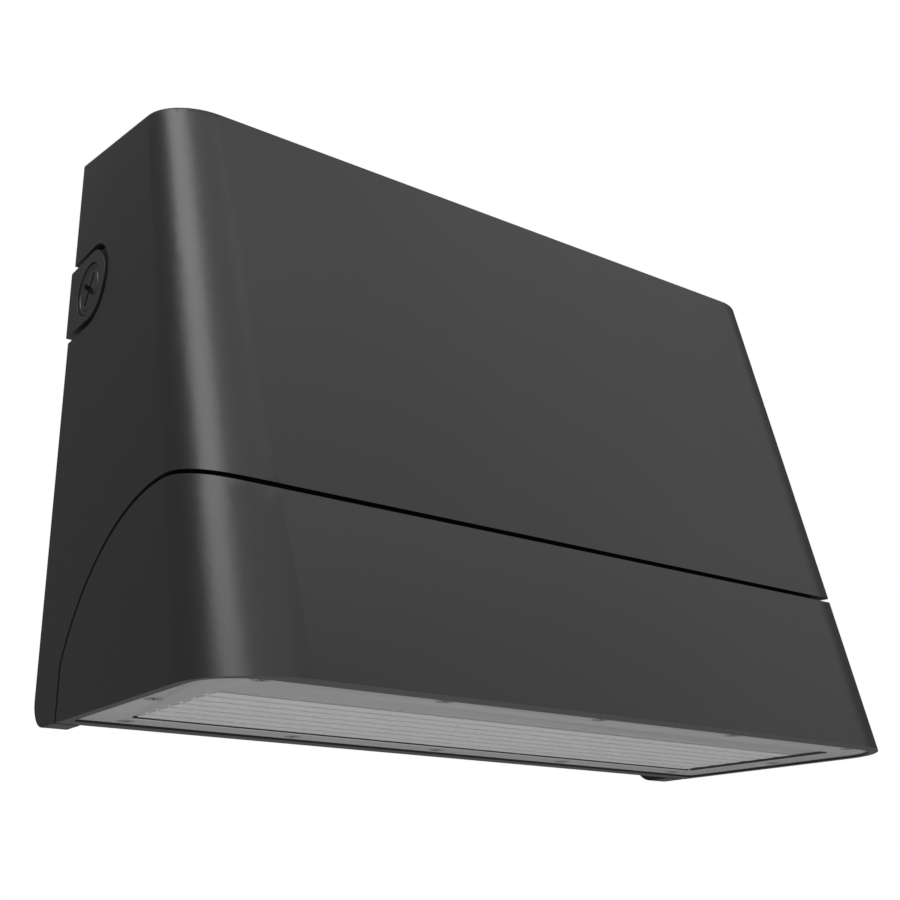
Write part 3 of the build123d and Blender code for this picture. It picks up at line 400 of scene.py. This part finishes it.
def solid_boxes(node):
    """The box of each separate solid of a node, as lowest and highest corners, from left to right."""
    shape = merged_shape(node)
    left = set(shape.verts)
    boxes = []
    while left:
        queue = [left.pop()]
        found = []
        while queue:
            vertex = queue.pop()
            found.append(vertex.co.copy())
            for edge in vertex.link_edges:
                other = edge.other_vert(vertex)
                if other in left:
                    left.remove(other)
                    queue.append(other)
        low = Vector([min(point[axis] for point in found) for axis in range(3)])
        high = Vector([max(point[axis] for point in found) for axis in range(3)])
        boxes.append((low, high))
    shape.free()
    return sorted(boxes, key=lambda box: tuple(round(value, 5) for value in box[0]))


def place_copies(name, shape, node, towards, material, free_turn=0.0, seed=0):
    """Copies of a shape for the solids of a node. Its Z axis faces towards, and its origin is at that end."""
    direction = Vector(towards)
    axis = max(range(3), key=lambda index: abs(direction[index]))
    points = []
    for low, high in solid_boxes(node):
        point = (low + high) / 2
        point[axis] = high[axis] if direction[axis] > 0 else low[axis]
        points.append(tuple(point))
    mesh = bpy.data.meshes.new(name)
    mesh.from_pydata(points, [], [])
    piece = bpy.data.objects.new(name, mesh)
    collection.objects.link(piece)
    facing = tuple(direction.to_track_quat("Z", "Y").to_euler())
    use_tree(piece, set_out, Shape=shape, Facing=facing, Free_Turn=free_turn, Seed=seed, Material=material)
    bpy.data.objects.remove(shape)
    return piece


seal_low, seal_high = solid_boxes("plug_seals")[0]
seal_half = (seal_high[0] - seal_low[0]) / 2
seal_outer = (seal_high[2] - seal_low[2]) / 2
seal_thick = 0.0007
ring_section = []
for step in range(12):
    angle = step * pi / 6
    ring_section.append((
        "circle", seal_outer - seal_thick + seal_thick * cos(angle), -seal_half + seal_half * sin(angle),
    ))
plug_seals = place_copies(
    "plug_seal_rings", ringed_shape("seal_ring", ring_section, hollow=True, sharp=60.0), "plug_seals",
    (1.0, 0.0, 0.0), rubber,
)
set_in_place(plug_seals, "wall_box", "black_rubber", rubber, "plug_seals")

# ================================================================ hinge pins
# Two plain steel pins, zinc plated, pressed through the lugs of the wall box. Their ends are chamfered
# and stand in the blind holes of the housing's legs.

zinc_plate = make_finish(
    "zinc_plate", (0.60, 0.60, 0.585), (0.47, 0.47, 0.465), (0.26, 0.40), (0.0022, 0.0003, 0.35), 0.000006,
    metallic=1.0,
)
pin_low, pin_high = solid_boxes("hinge_pins")[0]
pin_length = pin_high[0] - pin_low[0]
pin_radius = 0.0030
pin_chamfer = 0.0006
pin_shape = ringed_shape("pin", [
    ("circle", pin_radius - pin_chamfer, -pin_length), ("circle", pin_radius, -pin_length + pin_chamfer),
    ("circle", pin_radius, -pin_chamfer), ("circle", pin_radius - pin_chamfer, 0.0),
])
hinge_pins = place_copies("hinge_pins_turned", pin_shape, "hinge_pins", (1.0, 0.0, 0.0), zinc_plate)
set_in_place(hinge_pins, "wall_box", "steel", zinc_plate, "hinge_pins")

# ================================================================ terminal block
# A three-pole block moulded in pale nylon and screwed inside the tray. The supply wires go in from
# below and the driver's from above.

nylon = make_finish(
    "nylon", (0.60, 0.59, 0.55), (0.52, 0.51, 0.475), (0.34, 0.46), (0.004, 0.0005, 0.5), 0.00001,
)
principled(nylon).inputs["Subsurface Weight"].default_value = 0.05
terminal_block = fine_copy("terminal_block_moulding", "terminal_block", 0.0004)
set_in_place(terminal_block, "wall_box", "terminal_plastic", nylon, "terminal_block")

# ================================================================ screws of the terminal block
# One slotted steel screw with a domed head for each pole. It clamps the wires in the bore behind it.


def screw_shape(name, head, head_height, shank, length, recess, style="pan", pitch=0.0008):
    """A screw with its head's outer face at zero and its shank, with a thread, going down from there."""
    kind, size, depth = recess
    if style == "flat":
        rim = head - 0.0001
        rows = [("circle", shank, -head_height), ("circle", rim, -0.00015), ("circle", rim, 0.0)]
    elif style == "hexagon":
        rows = [
            ("hexagon", head, -head_height), ("hexagon", head, -0.0004), ("circle", head * 0.96, 0.0),
        ]
    elif style == "cap":
        rows = [
            ("circle", head, -head_height), ("circle", head, -0.0005), ("circle", head - 0.0005, 0.0),
        ]
    else:
        rows = [
            ("circle", head, -head_height), ("circle", head, -head_height * 0.62),
            ("circle", head * 0.94, -head_height * 0.30), ("circle", head * 0.80, -head_height * 0.10),
            ("circle", head * 0.62, 0.0),
        ]
    if depth:
        rows += [(kind, size, 0.0), (kind, size, -depth)]
    thread = []
    if length > head_height:
        bottom = -length
        crest = shank - 0.00003
        root = shank - pitch * 0.4
        thread = [("circle", root * 0.8, bottom)]
        level = bottom + pitch / 2
        while level < -head_height - pitch:
            thread += [("circle", crest, level), ("circle", root, level + pitch / 2)]
            level += pitch
        thread.append(("circle", crest, -head_height))
    return ringed_shape(name, thread + rows)


terminal_low, terminal_high = solid_boxes("terminal_screws")[0]
terminal_head = (terminal_high[0] - terminal_low[0]) / 2
terminal_shape = screw_shape(
    "terminal_screw", terminal_head, 0.0024, 0.0020, 0.0024, ("slot", (0.0030, 0.00045), 0.0010),
)
terminal_screws = place_copies(
    "terminal_screw_heads", terminal_shape, "terminal_screws", (0.0, -1.0, 0.0), zinc_plate, 2 * pi, 3,
)
set_in_place(terminal_screws, "wall_box", "steel", zinc_plate, "terminal_screws")

# ================================================================ ground screw
# A hexagon-headed steel screw with a green finish in the raised pad of the tray, where the ground
# wires end.

green_steel = make_finish(
    "green_steel", (0.030, 0.190, 0.070), (0.018, 0.130, 0.045), (0.28, 0.42), (0.002, 0.0003, 0.4), 0.00001,
    metallic=0.45,
)
ground_low, ground_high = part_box("ground_screw")
ground_length = ground_high[1] - ground_low[1]
ground_shape = screw_shape(
    "ground_hexagon", (ground_high[2] - ground_low[2]) / 2 * 0.99, 0.0024, 0.0020, ground_length,
    ("slot", (0.0024, 0.0004), 0.0009), style="hexagon",
)
ground_screw = place_copies(
    "ground_screw_turned", ground_shape, "ground_screw", (0.0, -1.0, 0.0), green_steel,
)
set_in_place(ground_screw, "wall_box", "green_screw", green_steel, "ground_screw")

# ================================================================ housing
# The main die casting, open at the back, with its bulkhead and floor cast in one piece. It is coated
# like the wall box, and its upright corners are rounded to a wide radius that catches the light.

housing = fine_copy("housing_casting", "housing", cast_edge_radius)
set_in_place(housing, "front", "painted_casting", powder_coat, "housing")

# ================================================================ gasket behind the bulkhead
# A flat loop of foam rubber glued to the bulkhead. The wall box's rim presses into it when the front
# is closed.


def make_seal_tree():
    """A strip of rounded section swept along the corners it is given, lying flat."""
    tree, source, result = new_group(
        "seal_loop",
        "GeometryNodeTree",
        [
            ("Geometry", "NodeSocketGeometry", None),
            ("Across", "NodeSocketFloat", 0.008),
            ("Thick", "NodeSocketFloat", 0.0015),
            ("Rounding", "NodeSocketFloat", 0.0004),
            ("Corner", "NodeSocketFloat", 0.002),
            ("Material", "NodeSocketMaterial", None),
        ],
        [("Geometry", "NodeSocketGeometry", None)],
    )
    route = add_node(tree, "GeometryNodeMeshToCurve", {"Mesh": source.outputs["Geometry"]})
    turned = add_node(tree, "GeometryNodeFilletCurve", {
        "Curve": route.outputs[0], "Count": 6, "Radius": source.outputs["Corner"], "Limit Radius": True,
    }, mode="POLY")
    level = add_node(tree, "GeometryNodeSetCurveNormal", {"Curve": turned.outputs[0]}, mode="Z_UP")
    section = add_node(tree, "GeometryNodeCurvePrimitiveQuadrilateral", {
        "Width": source.outputs["Across"], "Height": source.outputs["Thick"],
    })
    eased = add_node(tree, "GeometryNodeFilletCurve", {
        "Curve": section.outputs[0], "Count": 3, "Radius": source.outputs["Rounding"], "Limit Radius": True,
    }, mode="POLY")
    strip = add_node(tree, "GeometryNodeCurveToMesh", {
        "Curve": level.outputs[0], "Profile Curve": eased.outputs[0],
    })
    whole = add_node(tree, "GeometryNodeRealizeInstances", {"Geometry": strip.outputs[0]})
    finish = add_node(tree, "GeometryNodeSetMaterial", {
        "Geometry": whole.outputs[0], "Material": source.outputs["Material"],
    })
    tree.links.new(finish.outputs[0], result.inputs["Geometry"])
    return tree


seal_loop = make_seal_tree()


def flat_loop(name, low, high, across):
    """A loop of four corners along the middle of a strip, in the plane of the lowest and highest corners."""
    inset = across / 2
    corners = [
        (low[0] + inset, low[1] + inset, 0.0), (high[0] - inset, low[1] + inset, 0.0),
        (high[0] - inset, high[1] - inset, 0.0), (low[0] + inset, high[1] - inset, 0.0),
    ]
    mesh = bpy.data.meshes.new(name)
    mesh.from_pydata(corners, [(0, 1), (1, 2), (2, 3), (3, 0)], [])
    piece = bpy.data.objects.new(name, mesh)
    collection.objects.link(piece)
    return piece


def upright_seal(name, node, across, rounding, corner, material):
    """A seal loop stood up in the plane of the wall, filling the box of a solid."""
    low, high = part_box(node)
    piece = flat_loop(name, (low[0], low[2]), (high[0], high[2]), across)
    thick = high[1] - low[1]
    use_tree(
        piece, seal_loop, Across=across, Thick=thick, Rounding=rounding, Corner=corner, Material=material,
    )
    stand = Matrix.Translation((0.0, (low[1] + high[1]) / 2, 0.0)) @ Matrix.Rotation(pi / 2, 4, "X")
    piece.data.transform(stand)
    return piece


bulkhead_seal = upright_seal("bulkhead_seal", "housing_gasket", 0.008, 0.0005, 0.0045, rubber)
set_in_place(bulkhead_seal, "front", "black_rubber", rubber, "housing_gasket")

# ================================================================ closing screws
# Two socket-headed steel screws sunk in pockets in the housing's top. They draw the front shut against
# the tabs of the wall box.

closing_low, closing_high = solid_boxes("closing_screws")[0]
closing_shape = screw_shape(
    "closing_screw", (closing_high[0] - closing_low[0]) / 2, 0.0035, 0.0030, closing_high[2] - closing_low[2],
    ("hexagon", 0.0025, 0.0020), style="cap", pitch=0.0010,
)
closing_screws = place_copies(
    "closing_screws_turned", closing_shape, "closing_screws", (0.0, 0.0, 1.0), zinc_plate, 2 * pi, 5,
)
set_in_place(closing_screws, "front", "steel", zinc_plate, "closing_screws")

# ================================================================ closing washers
# A steel washer under each tab, loose on its screw, with edges slightly rounded from stamping.

washer_bore = 0.0032
washer_radius = 0.0060
washer_thick = 0.0010
washer_shape = ringed_shape("washer", [
    ("circle", washer_bore, 0.0), ("circle", washer_radius - 0.0002, 0.0), ("circle", washer_radius, -0.0002),
    ("circle", washer_radius, -washer_thick), ("circle", washer_bore, -washer_thick),
], hollow=True)
closing_washers = place_copies(
    "closing_washers_stamped", washer_shape, "closing_washers", (0.0, 0.0, 1.0), zinc_plate,
)
set_in_place(closing_washers, "front", "steel", zinc_plate, "closing_washers")

# ================================================================ closing nuts
# A hexagon nut below each washer, with chamfered corners. It stays on its screw when the front swings
# open.

nut_low, nut_high = solid_boxes("closing_nuts")[0]
nut_height = nut_high[2] - nut_low[2]
nut_bore = 0.0031
nut_half_width = 0.0045
nut_chamfer = 0.0005
nut_face = 0.0044              # radius of the round its chamfered ends leave
nut_shape = ringed_shape("nut", [
    ("circle", nut_bore, -nut_height), ("circle", nut_face, -nut_height),
    ("hexagon", nut_half_width, -nut_height + nut_chamfer), ("hexagon", nut_half_width, -nut_chamfer),
    ("circle", nut_face, 0.0), ("circle", nut_bore, 0.0),
], hollow=True)
closing_nuts = place_copies("closing_nuts_turned", nut_shape, "closing_nuts", (0.0, 0.0, 1.0), zinc_plate)
set_in_place(closing_nuts, "front", "steel", zinc_plate, "closing_nuts")

# ================================================================ bracket
# A flat plate of hot-dip galvanised sheet steel on four posts behind the sloping front. Its coating
# shows the large flat crystals of zinc.

spangle = bpy.data.materials.new("spangled_zinc")
spangle.use_nodes = True
spangle_tree = spangle.node_tree
spangle_shader = principled(spangle)
spangle_shader.inputs["Metallic"].default_value = 1.0
spangle_place = add_node(spangle_tree, "ShaderNodeTexCoord")
crystals = add_node(spangle_tree, "ShaderNodeTexVoronoi", {
    "Vector": spangle_place.outputs["Object"], "Scale": 130.0,
})
crystal_tone = add_node(spangle_tree, "ShaderNodeSeparateColor", {0: crystals.outputs["Color"]})
spangle_skin = spangle_tree.nodes.new("ShaderNodeGroup")
spangle_skin.node_tree = surface_grain
spangle_tree.links.new(spangle_place.outputs["Object"], spangle_skin.inputs["Vector"])
spangle_colour = add_node(spangle_tree, "ShaderNodeMix", {0: crystal_tone.outputs[0]}, data_type="RGBA")
spangle_colour.inputs[6].default_value = (0.44, 0.45, 0.46, 1.0)
spangle_colour.inputs[7].default_value = (0.60, 0.61, 0.61, 1.0)
spangle_tree.links.new(spangle_colour.outputs[2], spangle_shader.inputs["Base Color"])
spangle_gloss = add_node(spangle_tree, "ShaderNodeMapRange", {
    "Value": crystal_tone.outputs[1], "To Min": 0.28, "To Max": 0.52,
})
spangle_tree.links.new(spangle_gloss.outputs[0], spangle_shader.inputs["Roughness"])
spangle_bump = add_node(spangle_tree, "ShaderNodeBump", {
    "Height": spangle_skin.outputs["Height"], "Distance": 0.000008, "Strength": 1.0,
})
spangle_tree.links.new(spangle_bump.outputs[0], spangle_shader.inputs["Normal"])
bracket = fine_copy("bracket_plate", "bracket", 0.0003)
set_in_place(bracket, "front", "steel", spangle, "bracket")

# ================================================================ screws of the bracket
# Four cross-recessed pan-head screws that hold the bracket to the posts in the housing.

small_cross = ("cross", (0.0019, 0.00035), 0.0013)


def small_screws(name, node, towards, seed):
    """Pan-head screws for each solid of a node."""
    low, high = solid_boxes(node)[0]
    length = max(high[axis] - low[axis] for axis in range(3) if abs(towards[axis]) > 0.5)
    head = max((high[axis] - low[axis]) / 2 for axis in range(3) if abs(towards[axis]) < 0.5)
    shape = screw_shape("pan_head", head, 0.0024, 0.0020, length, small_cross)
    return place_copies(name, shape, node, towards, zinc_plate, 2 * pi, seed)


bracket_screws = small_screws("bracket_screws_turned", "bracket_screws", (0.0, 1.0, 0.0), 11)
set_in_place(bracket_screws, "front", "steel", zinc_plate, "bracket_screws")

# ================================================================ LED driver
# A potted power supply in a pale grey moulded case, with a mounting tab at each end. It turns the
# mains into the steady current that the boards need.

driver_plastic = make_finish(
    "driver_plastic", (0.40, 0.405, 0.41), (0.34, 0.345, 0.35), (0.36, 0.48), (0.004, 0.0006, 0.6), 0.00002,
)
driver = fine_copy("driver_case", "driver", 0.0012)
set_in_place(driver, "front", "driver_case", driver_plastic, "driver")

# ================================================================ screws of the driver
# Two of the same pan-head screws, through the driver's tabs into the bracket.

driver_screws = small_screws("driver_screws_turned", "driver_screws", (0.0, 1.0, 0.0), 17)
set_in_place(driver_screws, "front", "steel", zinc_plate, "driver_screws")

# ================================================================ surge protector
# A small potted block beside the driver, in the same kind of case but darker, that takes up surges
# from the mains.

surge_plastic = make_finish(
    "surge_plastic", (0.060, 0.060, 0.062), (0.042, 0.042, 0.044), (0.40, 0.52), (0.004, 0.0006, 0.6),
    0.00002,
)
surge = fine_copy("surge_block", "surge_protector", 0.0010)
set_in_place(surge, "front", "driver_case", surge_plastic, "surge_protector")

# ================================================================ lens frame
# The lower casting, coated like the housing and screwed to its floor from inside. Its top follows
# the arched seam, and the lens lies in a rebate in its underside.

lens_frame = fine_copy("lens_frame_casting", "lens_frame", cast_edge_radius)
set_in_place(lens_frame, "front", "painted_casting", powder_coat, "lens_frame")

# ================================================================ breather vent
# A black plastic plug with a domed head in the frame's back wall. It lets the chamber breathe as the
# lamp warms and cools, and keeps water out.

vent_low, vent_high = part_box("vent")
vent_radius = (vent_high[2] - vent_low[2]) / 2
vent_length = vent_high[1] - vent_low[1]
vent_stem = 0.00295
vent_flange = -0.0025            # along the plug, where its head starts
vent_shape = ringed_shape("vent_plug", [
    ("circle", 0.0026, -vent_length), ("circle", vent_stem, -vent_length + 0.0004),
    ("circle", vent_stem, vent_flange), ("circle", vent_radius, vent_flange),
    ("circle", vent_radius, -0.0010), ("circle", vent_radius - 0.0006, -0.0003),
    ("circle", vent_radius - 0.0018, 0.0), ("circle", 0.0016, 0.0), ("circle", 0.0014, -0.0005),
])
vent = place_copies("vent_plug_moulded", vent_shape, "vent", (0.0, 1.0, 0.0), rubber)
set_in_place(vent, "front", "black_rubber", rubber, "vent")

# ================================================================ gasket in the seam
# A black rubber loop along the arched seam between the two castings, set in from the outside, so
# that the seam shows as a dark line.

seam_gasket = fine_copy("seam_gasket", "frame_gasket", 0.0003)
set_in_place(seam_gasket, "front", "black_rubber", rubber, "frame_gasket")

# ================================================================ screws of the lens frame
# Four long steel screws from the housing's floor down into the bosses of the lens frame.

frame_low, frame_high = solid_boxes("frame_screws")[0]
frame_shape = screw_shape(
    "frame_screw", (frame_high[0] - frame_low[0]) / 2, 0.0040, 0.0025, frame_high[2] - frame_low[2],
    ("hexagon", 0.0020, 0.0022), style="cap",
)
frame_screws = place_copies(
    "frame_screws_turned", frame_shape, "frame_screws", (0.0, 0.0, 1.0), zinc_plate, 2 * pi, 23,
)
set_in_place(frame_screws, "front", "steel", zinc_plate, "frame_screws")

# ================================================================ lens
# One moulding of clear polycarbonate with a frosted inside and shallow ribs under the LEDs. Twelve
# countersunk screws hold its flange in the frame's rebate.

frosted_lens = make_finish(
    "frosted_lens", (0.88, 0.88, 0.875), (0.82, 0.82, 0.815), (0.28, 0.36), (0.004, 0.0005, 0.4), 0.00001,
)
principled(frosted_lens).inputs["Transmission Weight"].default_value = 0.22
principled(frosted_lens).inputs["IOR"].default_value = 1.58
ribbed_middle = (0.0, -0.0754)       # middle of the ribbed part, across and out from the wall
ribbed_half = (0.1300, 0.0311)
ribbed_fade = 0.0006
plain_tone = (0.50, 0.50, 0.50, 1.0)
# Painted shade: a near-black tone on the walls of the lens recess, standing for the shadow line along its
# step.
recess_shade_colour = (0.05, 0.05, 0.05, 1.0)


def shade_lens(material):
    """Darken the plain parts of the lens, where nothing frosts its inside, and paint shade, a near-black
    tone, on the walls of its recess.
    """
    tree = material.node_tree
    shader = principled(material)
    frost_tone = shader.inputs["Base Color"].links[0].from_socket
    place = add_node(tree, "ShaderNodeTexCoord")
    apart = add_node(tree, "ShaderNodeSeparateXYZ", {"Vector": place.outputs["Object"]})
    inside = []
    for axis in (0, 1):
        offset = add_node(
            tree, "ShaderNodeMath", {0: apart.outputs[axis], 1: ribbed_middle[axis]}, operation="SUBTRACT",
        )
        distance = add_node(tree, "ShaderNodeMath", {0: offset.outputs[0]}, operation="ABSOLUTE")
        inside.append(add_node(tree, "ShaderNodeMapRange", {
            "Value": distance.outputs[0], "From Min": ribbed_half[axis] + ribbed_fade,
            "From Max": ribbed_half[axis] - ribbed_fade, "To Min": 0.0, "To Max": 1.0,
        }))
    ribbed = add_node(
        tree, "ShaderNodeMath", {0: inside[0].outputs[0], 1: inside[1].outputs[0]}, operation="MULTIPLY",
    )
    plain = add_node(tree, "ShaderNodeMix", {0: ribbed.outputs[0]}, data_type="RGBA")
    plain.inputs[6].default_value = plain_tone
    tree.links.new(frost_tone, plain.inputs[7])
    # The recess walls' faces, marked on the lens mesh, take the painted shade colour.
    painted_shade_node = add_node(tree, "ShaderNodeAttribute", attribute_name="recess_wall")
    shaded_tone = add_node(tree, "ShaderNodeMix", {0: painted_shade_node.outputs["Fac"]}, data_type="RGBA")
    tree.links.new(plain.outputs[2], shaded_tone.inputs[6])
    shaded_tone.inputs[7].default_value = recess_shade_colour
    tree.links.new(shaded_tone.outputs[2], shader.inputs["Base Color"])


shade_lens(frosted_lens)
lens = fine_copy("lens_moulding", "lens", 0.00022)
lens_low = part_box("lens")[0]
field_border = (0.1325, -0.0458, -0.1243)     # side, back and front walls of the recess
field_depth = 0.0011
border_slack = 0.0004
# Faces on the upright walls of the recess are marked to take the painted shade.
shade_on_walls = lens.data.attributes.new("recess_wall", "FLOAT", "FACE")
for face in lens.data.polygons:
    near_side = abs(abs(face.center.x) - field_border[0]) < border_slack
    near_end = min(abs(face.center.y - field_border[1]), abs(face.center.y - field_border[2])) < border_slack
    low_enough = face.center.z < lens_low[2] + field_depth
    shade_on_walls.data[face.index].value = float((near_side or near_end) and low_enough and abs(face.normal.z) < 0.5)
set_in_place(lens, "front", "clear_lens", frosted_lens, "lens")

# ================================================================ screws of the lens
# Twelve small countersunk steel screws, flush with the lens flange, with a fine cross recess. Their
# passivated finish is a pale grey, close to the lens.

coated_steel = make_finish(
    "coated_steel", (0.30, 0.30, 0.30), (0.24, 0.24, 0.24), (0.26, 0.38), (0.002, 0.0003, 0.4), 0.000006,
    metallic=0.25,
)
lens_screw_low, lens_screw_high = solid_boxes("lens_screws")[0]
lens_screw_head = (lens_screw_high[0] - lens_screw_low[0]) / 2
lens_screw_shape = screw_shape(
    "countersunk", lens_screw_head, lens_screw_head - 0.0016, 0.0016, lens_screw_high[2] - lens_screw_low[2],
    ("cross", (0.0017, 0.00032), 0.0010), style="flat",
)
lens_screws = place_copies(
    "lens_screws_turned", lens_screw_shape, "lens_screws", (0.0, 0.0, -1.0), coated_steel, 2 * pi, 29,
)
set_in_place(lens_screws, "front", "steel", coated_steel, "lens_screws")

# ================================================================ gasket of the lens
# A thin black rubber frame between the lens flange and the casting's ledge.

lens_gasket = fine_copy("lens_gasket_rubber", "lens_gasket", 0.0001)
set_in_place(lens_gasket, "front", "black_rubber", rubber, "lens_gasket")

# ================================================================ carrier plate
# A plate of bare rolled aluminium that holds the boards and carries their heat to the casting. It
# shows the faint lines of rolling along its length.

rolled_aluminium = make_finish(
    "rolled_aluminium", (0.74, 0.74, 0.75), (0.60, 0.60, 0.61), (0.28, 0.42), (0.0020, 0.0003, 0.5), 0.000008,
    metallic=1.0, stretch=(0.05, 1.0, 1.0),
)
carrier = fine_copy("carrier_plate", "carrier", 0.0003)
set_in_place(carrier, "front", "bare_aluminium", rolled_aluminium, "carrier")

# ================================================================ screws of the carrier
# Four pan-head screws up into the posts of the lens frame.

carrier_screws = small_screws("carrier_screws_turned", "carrier_screws", (0.0, 0.0, -1.0), 31)
set_in_place(carrier_screws, "front", "steel", zinc_plate, "carrier_screws")

# ================================================================ LED boards
# Two aluminium-cored circuit boards with a white solder mask, side by side under the carrier.

solder_mask = make_finish(
    "solder_mask", (0.80, 0.81, 0.80), (0.74, 0.75, 0.74), (0.24, 0.34), (0.006, 0.0008, 0.3), 0.000006,
)
led_boards = fine_copy("led_boards_cut", "led_boards", 0.0002)
set_in_place(led_boards, "front", "white_board", solder_mask, "led_boards")

# ================================================================ screws of the boards
# Two low-headed screws for each board, into the carrier.

board_low, board_high = solid_boxes("board_screws")[0]
board_shape = screw_shape(
    "board_screw", (board_high[0] - board_low[0]) / 2, 0.0012, 0.0015, board_high[2] - board_low[2],
    ("cross", (0.0013, 0.0003), 0.0007),
)
board_screws = place_copies(
    "board_screws_turned", board_shape, "board_screws", (0.0, 0.0, -1.0), zinc_plate, 2 * pi, 37,
)
set_in_place(board_screws, "front", "steel", zinc_plate, "board_screws")

# ================================================================ LEDs
# Three rows of eight LEDs on each board: a square white package with a yellow phosphor face that is
# slightly domed, soldered flat on the board.

led_low, led_high = solid_boxes("leds")[0]
led_half = (led_high[0] - led_low[0]) / 2
led_height = led_high[2] - led_low[2]
package_shape = ringed_shape("package", [
    ("square", led_half - 0.0001, -led_height), ("square", led_half, -led_height + 0.0002),
    ("square", led_half, -0.0004), ("square", led_half - 0.00015, -0.0003), ("circle", 0.00140, -0.0003),
    ("circle", 0.00130, -0.0006),
])
package_plastic = make_finish(
    "package_plastic", (0.78, 0.78, 0.76), (0.72, 0.72, 0.70), (0.30, 0.40), (0.001, 0.0002, 0.4), 0.000004,
)
phosphor = make_finish(
    "phosphor", (0.86, 0.66, 0.12), (0.78, 0.56, 0.08), (0.22, 0.32), (0.0008, 0.0002, 0.5), 0.000006,
)
principled(phosphor).inputs["Subsurface Weight"].default_value = 0.1
dome_shape = ringed_shape("dome", [
    ("circle", 0.00128, -0.0006), ("circle", 0.00128, -0.0003), ("circle", 0.00112, -0.00012),
    ("circle", 0.00075, -0.00003), ("circle", 0.00030, 0.0),
])
led_packages = place_copies("led_packages", package_shape, "leds", (0.0, 0.0, -1.0), package_plastic)
led_domes = place_copies("led_phosphor_domes", dome_shape, "leds", (0.0, 0.0, -1.0), phosphor)
set_in_place(led_packages, "front", "white_board", package_plastic, "leds")
set_in_place(led_domes, "front", "led_phosphor", phosphor, "leds")

# ================================================================ reflector
# A tray of thin white-painted sheet that flares from the boards down to the window, with an opening
# for each board.

white_paint = make_finish(
    "white_paint", (0.84, 0.84, 0.83), (0.79, 0.79, 0.78), (0.30, 0.42), (0.004, 0.0006, 0.4), 0.00001,
)
reflector = fine_copy("reflector_tray", "reflector", 0.0002)
set_in_place(reflector, "front", "white_reflector", white_paint, "reflector")

# ================================================================ floor, lights and camera
# A plain pale floor well below the light. A narrow key panel is mirrored along the left corner, wide
# ones in the sloping front, and weak ones light the underside and the rear edges from behind. The
# camera stands where the photograph was taken from.

floor_height = -0.62
floor_half = 6.0
floor_mesh = bpy.data.meshes.new("floor")
floor_mesh.from_pydata(
    [(x * floor_half, y * floor_half, floor_height) for x, y in ((-1, -1), (1, -1), (1, 1), (-1, 1))],
    [],
    [(0, 1, 2, 3)],
)
floor = bpy.data.objects.new("floor", floor_mesh)
collection.objects.link(floor)
floor_paint = make_finish(
    "floor_paint", (0.80, 0.80, 0.80), (0.77, 0.77, 0.77), (0.6, 0.7), (0.05, 0.004, 0.3), 0.0001,
)
floor_mesh.materials.append(floor_paint)

light_target = Vector((0.0, -0.07, -0.02))


def add_panel(name, direction, distance, width, height, power, roll=0.0):
    """A soft panel light that faces the object from a direction, rolled about its own axis."""
    panel = bpy.data.lights.new(name, "AREA")
    panel.shape = "RECTANGLE"
    panel.size = width
    panel.size_y = height
    panel.energy = power
    lamp = bpy.data.objects.new(name, panel)
    towards = Vector(direction).normalized()
    lamp.location = light_target + distance * towards
    facing = towards.to_track_quat("Z", "Y") @ Quaternion((0.0, 0.0, 1.0), roll)
    lamp.rotation_euler = facing.to_euler()
    collection.objects.link(lamp)
    return lamp


add_panel("key_panel", (-0.73, -0.19, 0.64), 1.5, 0.72, 1.35, 13.5, radians(22.0))
add_panel("front_panel", (0.556, -0.484, 0.60), 1.8, 1.6, 2.0, 6.9)
add_panel("fill_panel", (-0.16, -0.48, 0.58), 1.8, 1.6, 2.0, 8.8)
add_panel("low_panel", (0.05, -0.25, -0.96), 0.55, 0.9, 0.5, 0.58)
rim_panel = add_panel("rim_panel", (0.30, 0.80, 0.60), 1.6, 1.6, 1.2, 4.5)
rim_panel.visible_camera = False

sky_strength = 0.115
world = bpy.data.worlds.new("studio")
world.use_nodes = True
bpy.context.scene.world = world
sky = world.node_tree
sky.nodes.clear()
seen = add_node(sky, "ShaderNodeBackground", {"Color": (1.0, 1.0, 1.0, 1.0), "Strength": 1.0})
cast = add_node(sky, "ShaderNodeBackground", {"Color": (1.0, 1.0, 1.0, 1.0), "Strength": sky_strength})
ray = add_node(sky, "ShaderNodeLightPath")
both = add_node(sky, "ShaderNodeMixShader", {
    0: ray.outputs["Is Camera Ray"], 1: cast.outputs[0], 2: seen.outputs[0],
})
add_node(sky, "ShaderNodeOutputWorld", {"Surface": both.outputs[0]})
bpy.context.scene.view_settings.view_transform = "Standard"

camera_data = bpy.data.cameras.new("camera")
camera_data.sensor_width = 36.0
camera_data.lens = 54.107
camera_data.shift_x = 0.0015
camera_data.shift_y = 0.0584
camera = bpy.data.objects.new("camera", camera_data)
camera.location = (-0.3111, -0.4790, -0.1937)
camera.rotation_euler = (radians(90 + 17.71), 0.0, radians(-35.72))
collection.objects.link(camera)
bpy.context.scene.camera = camera
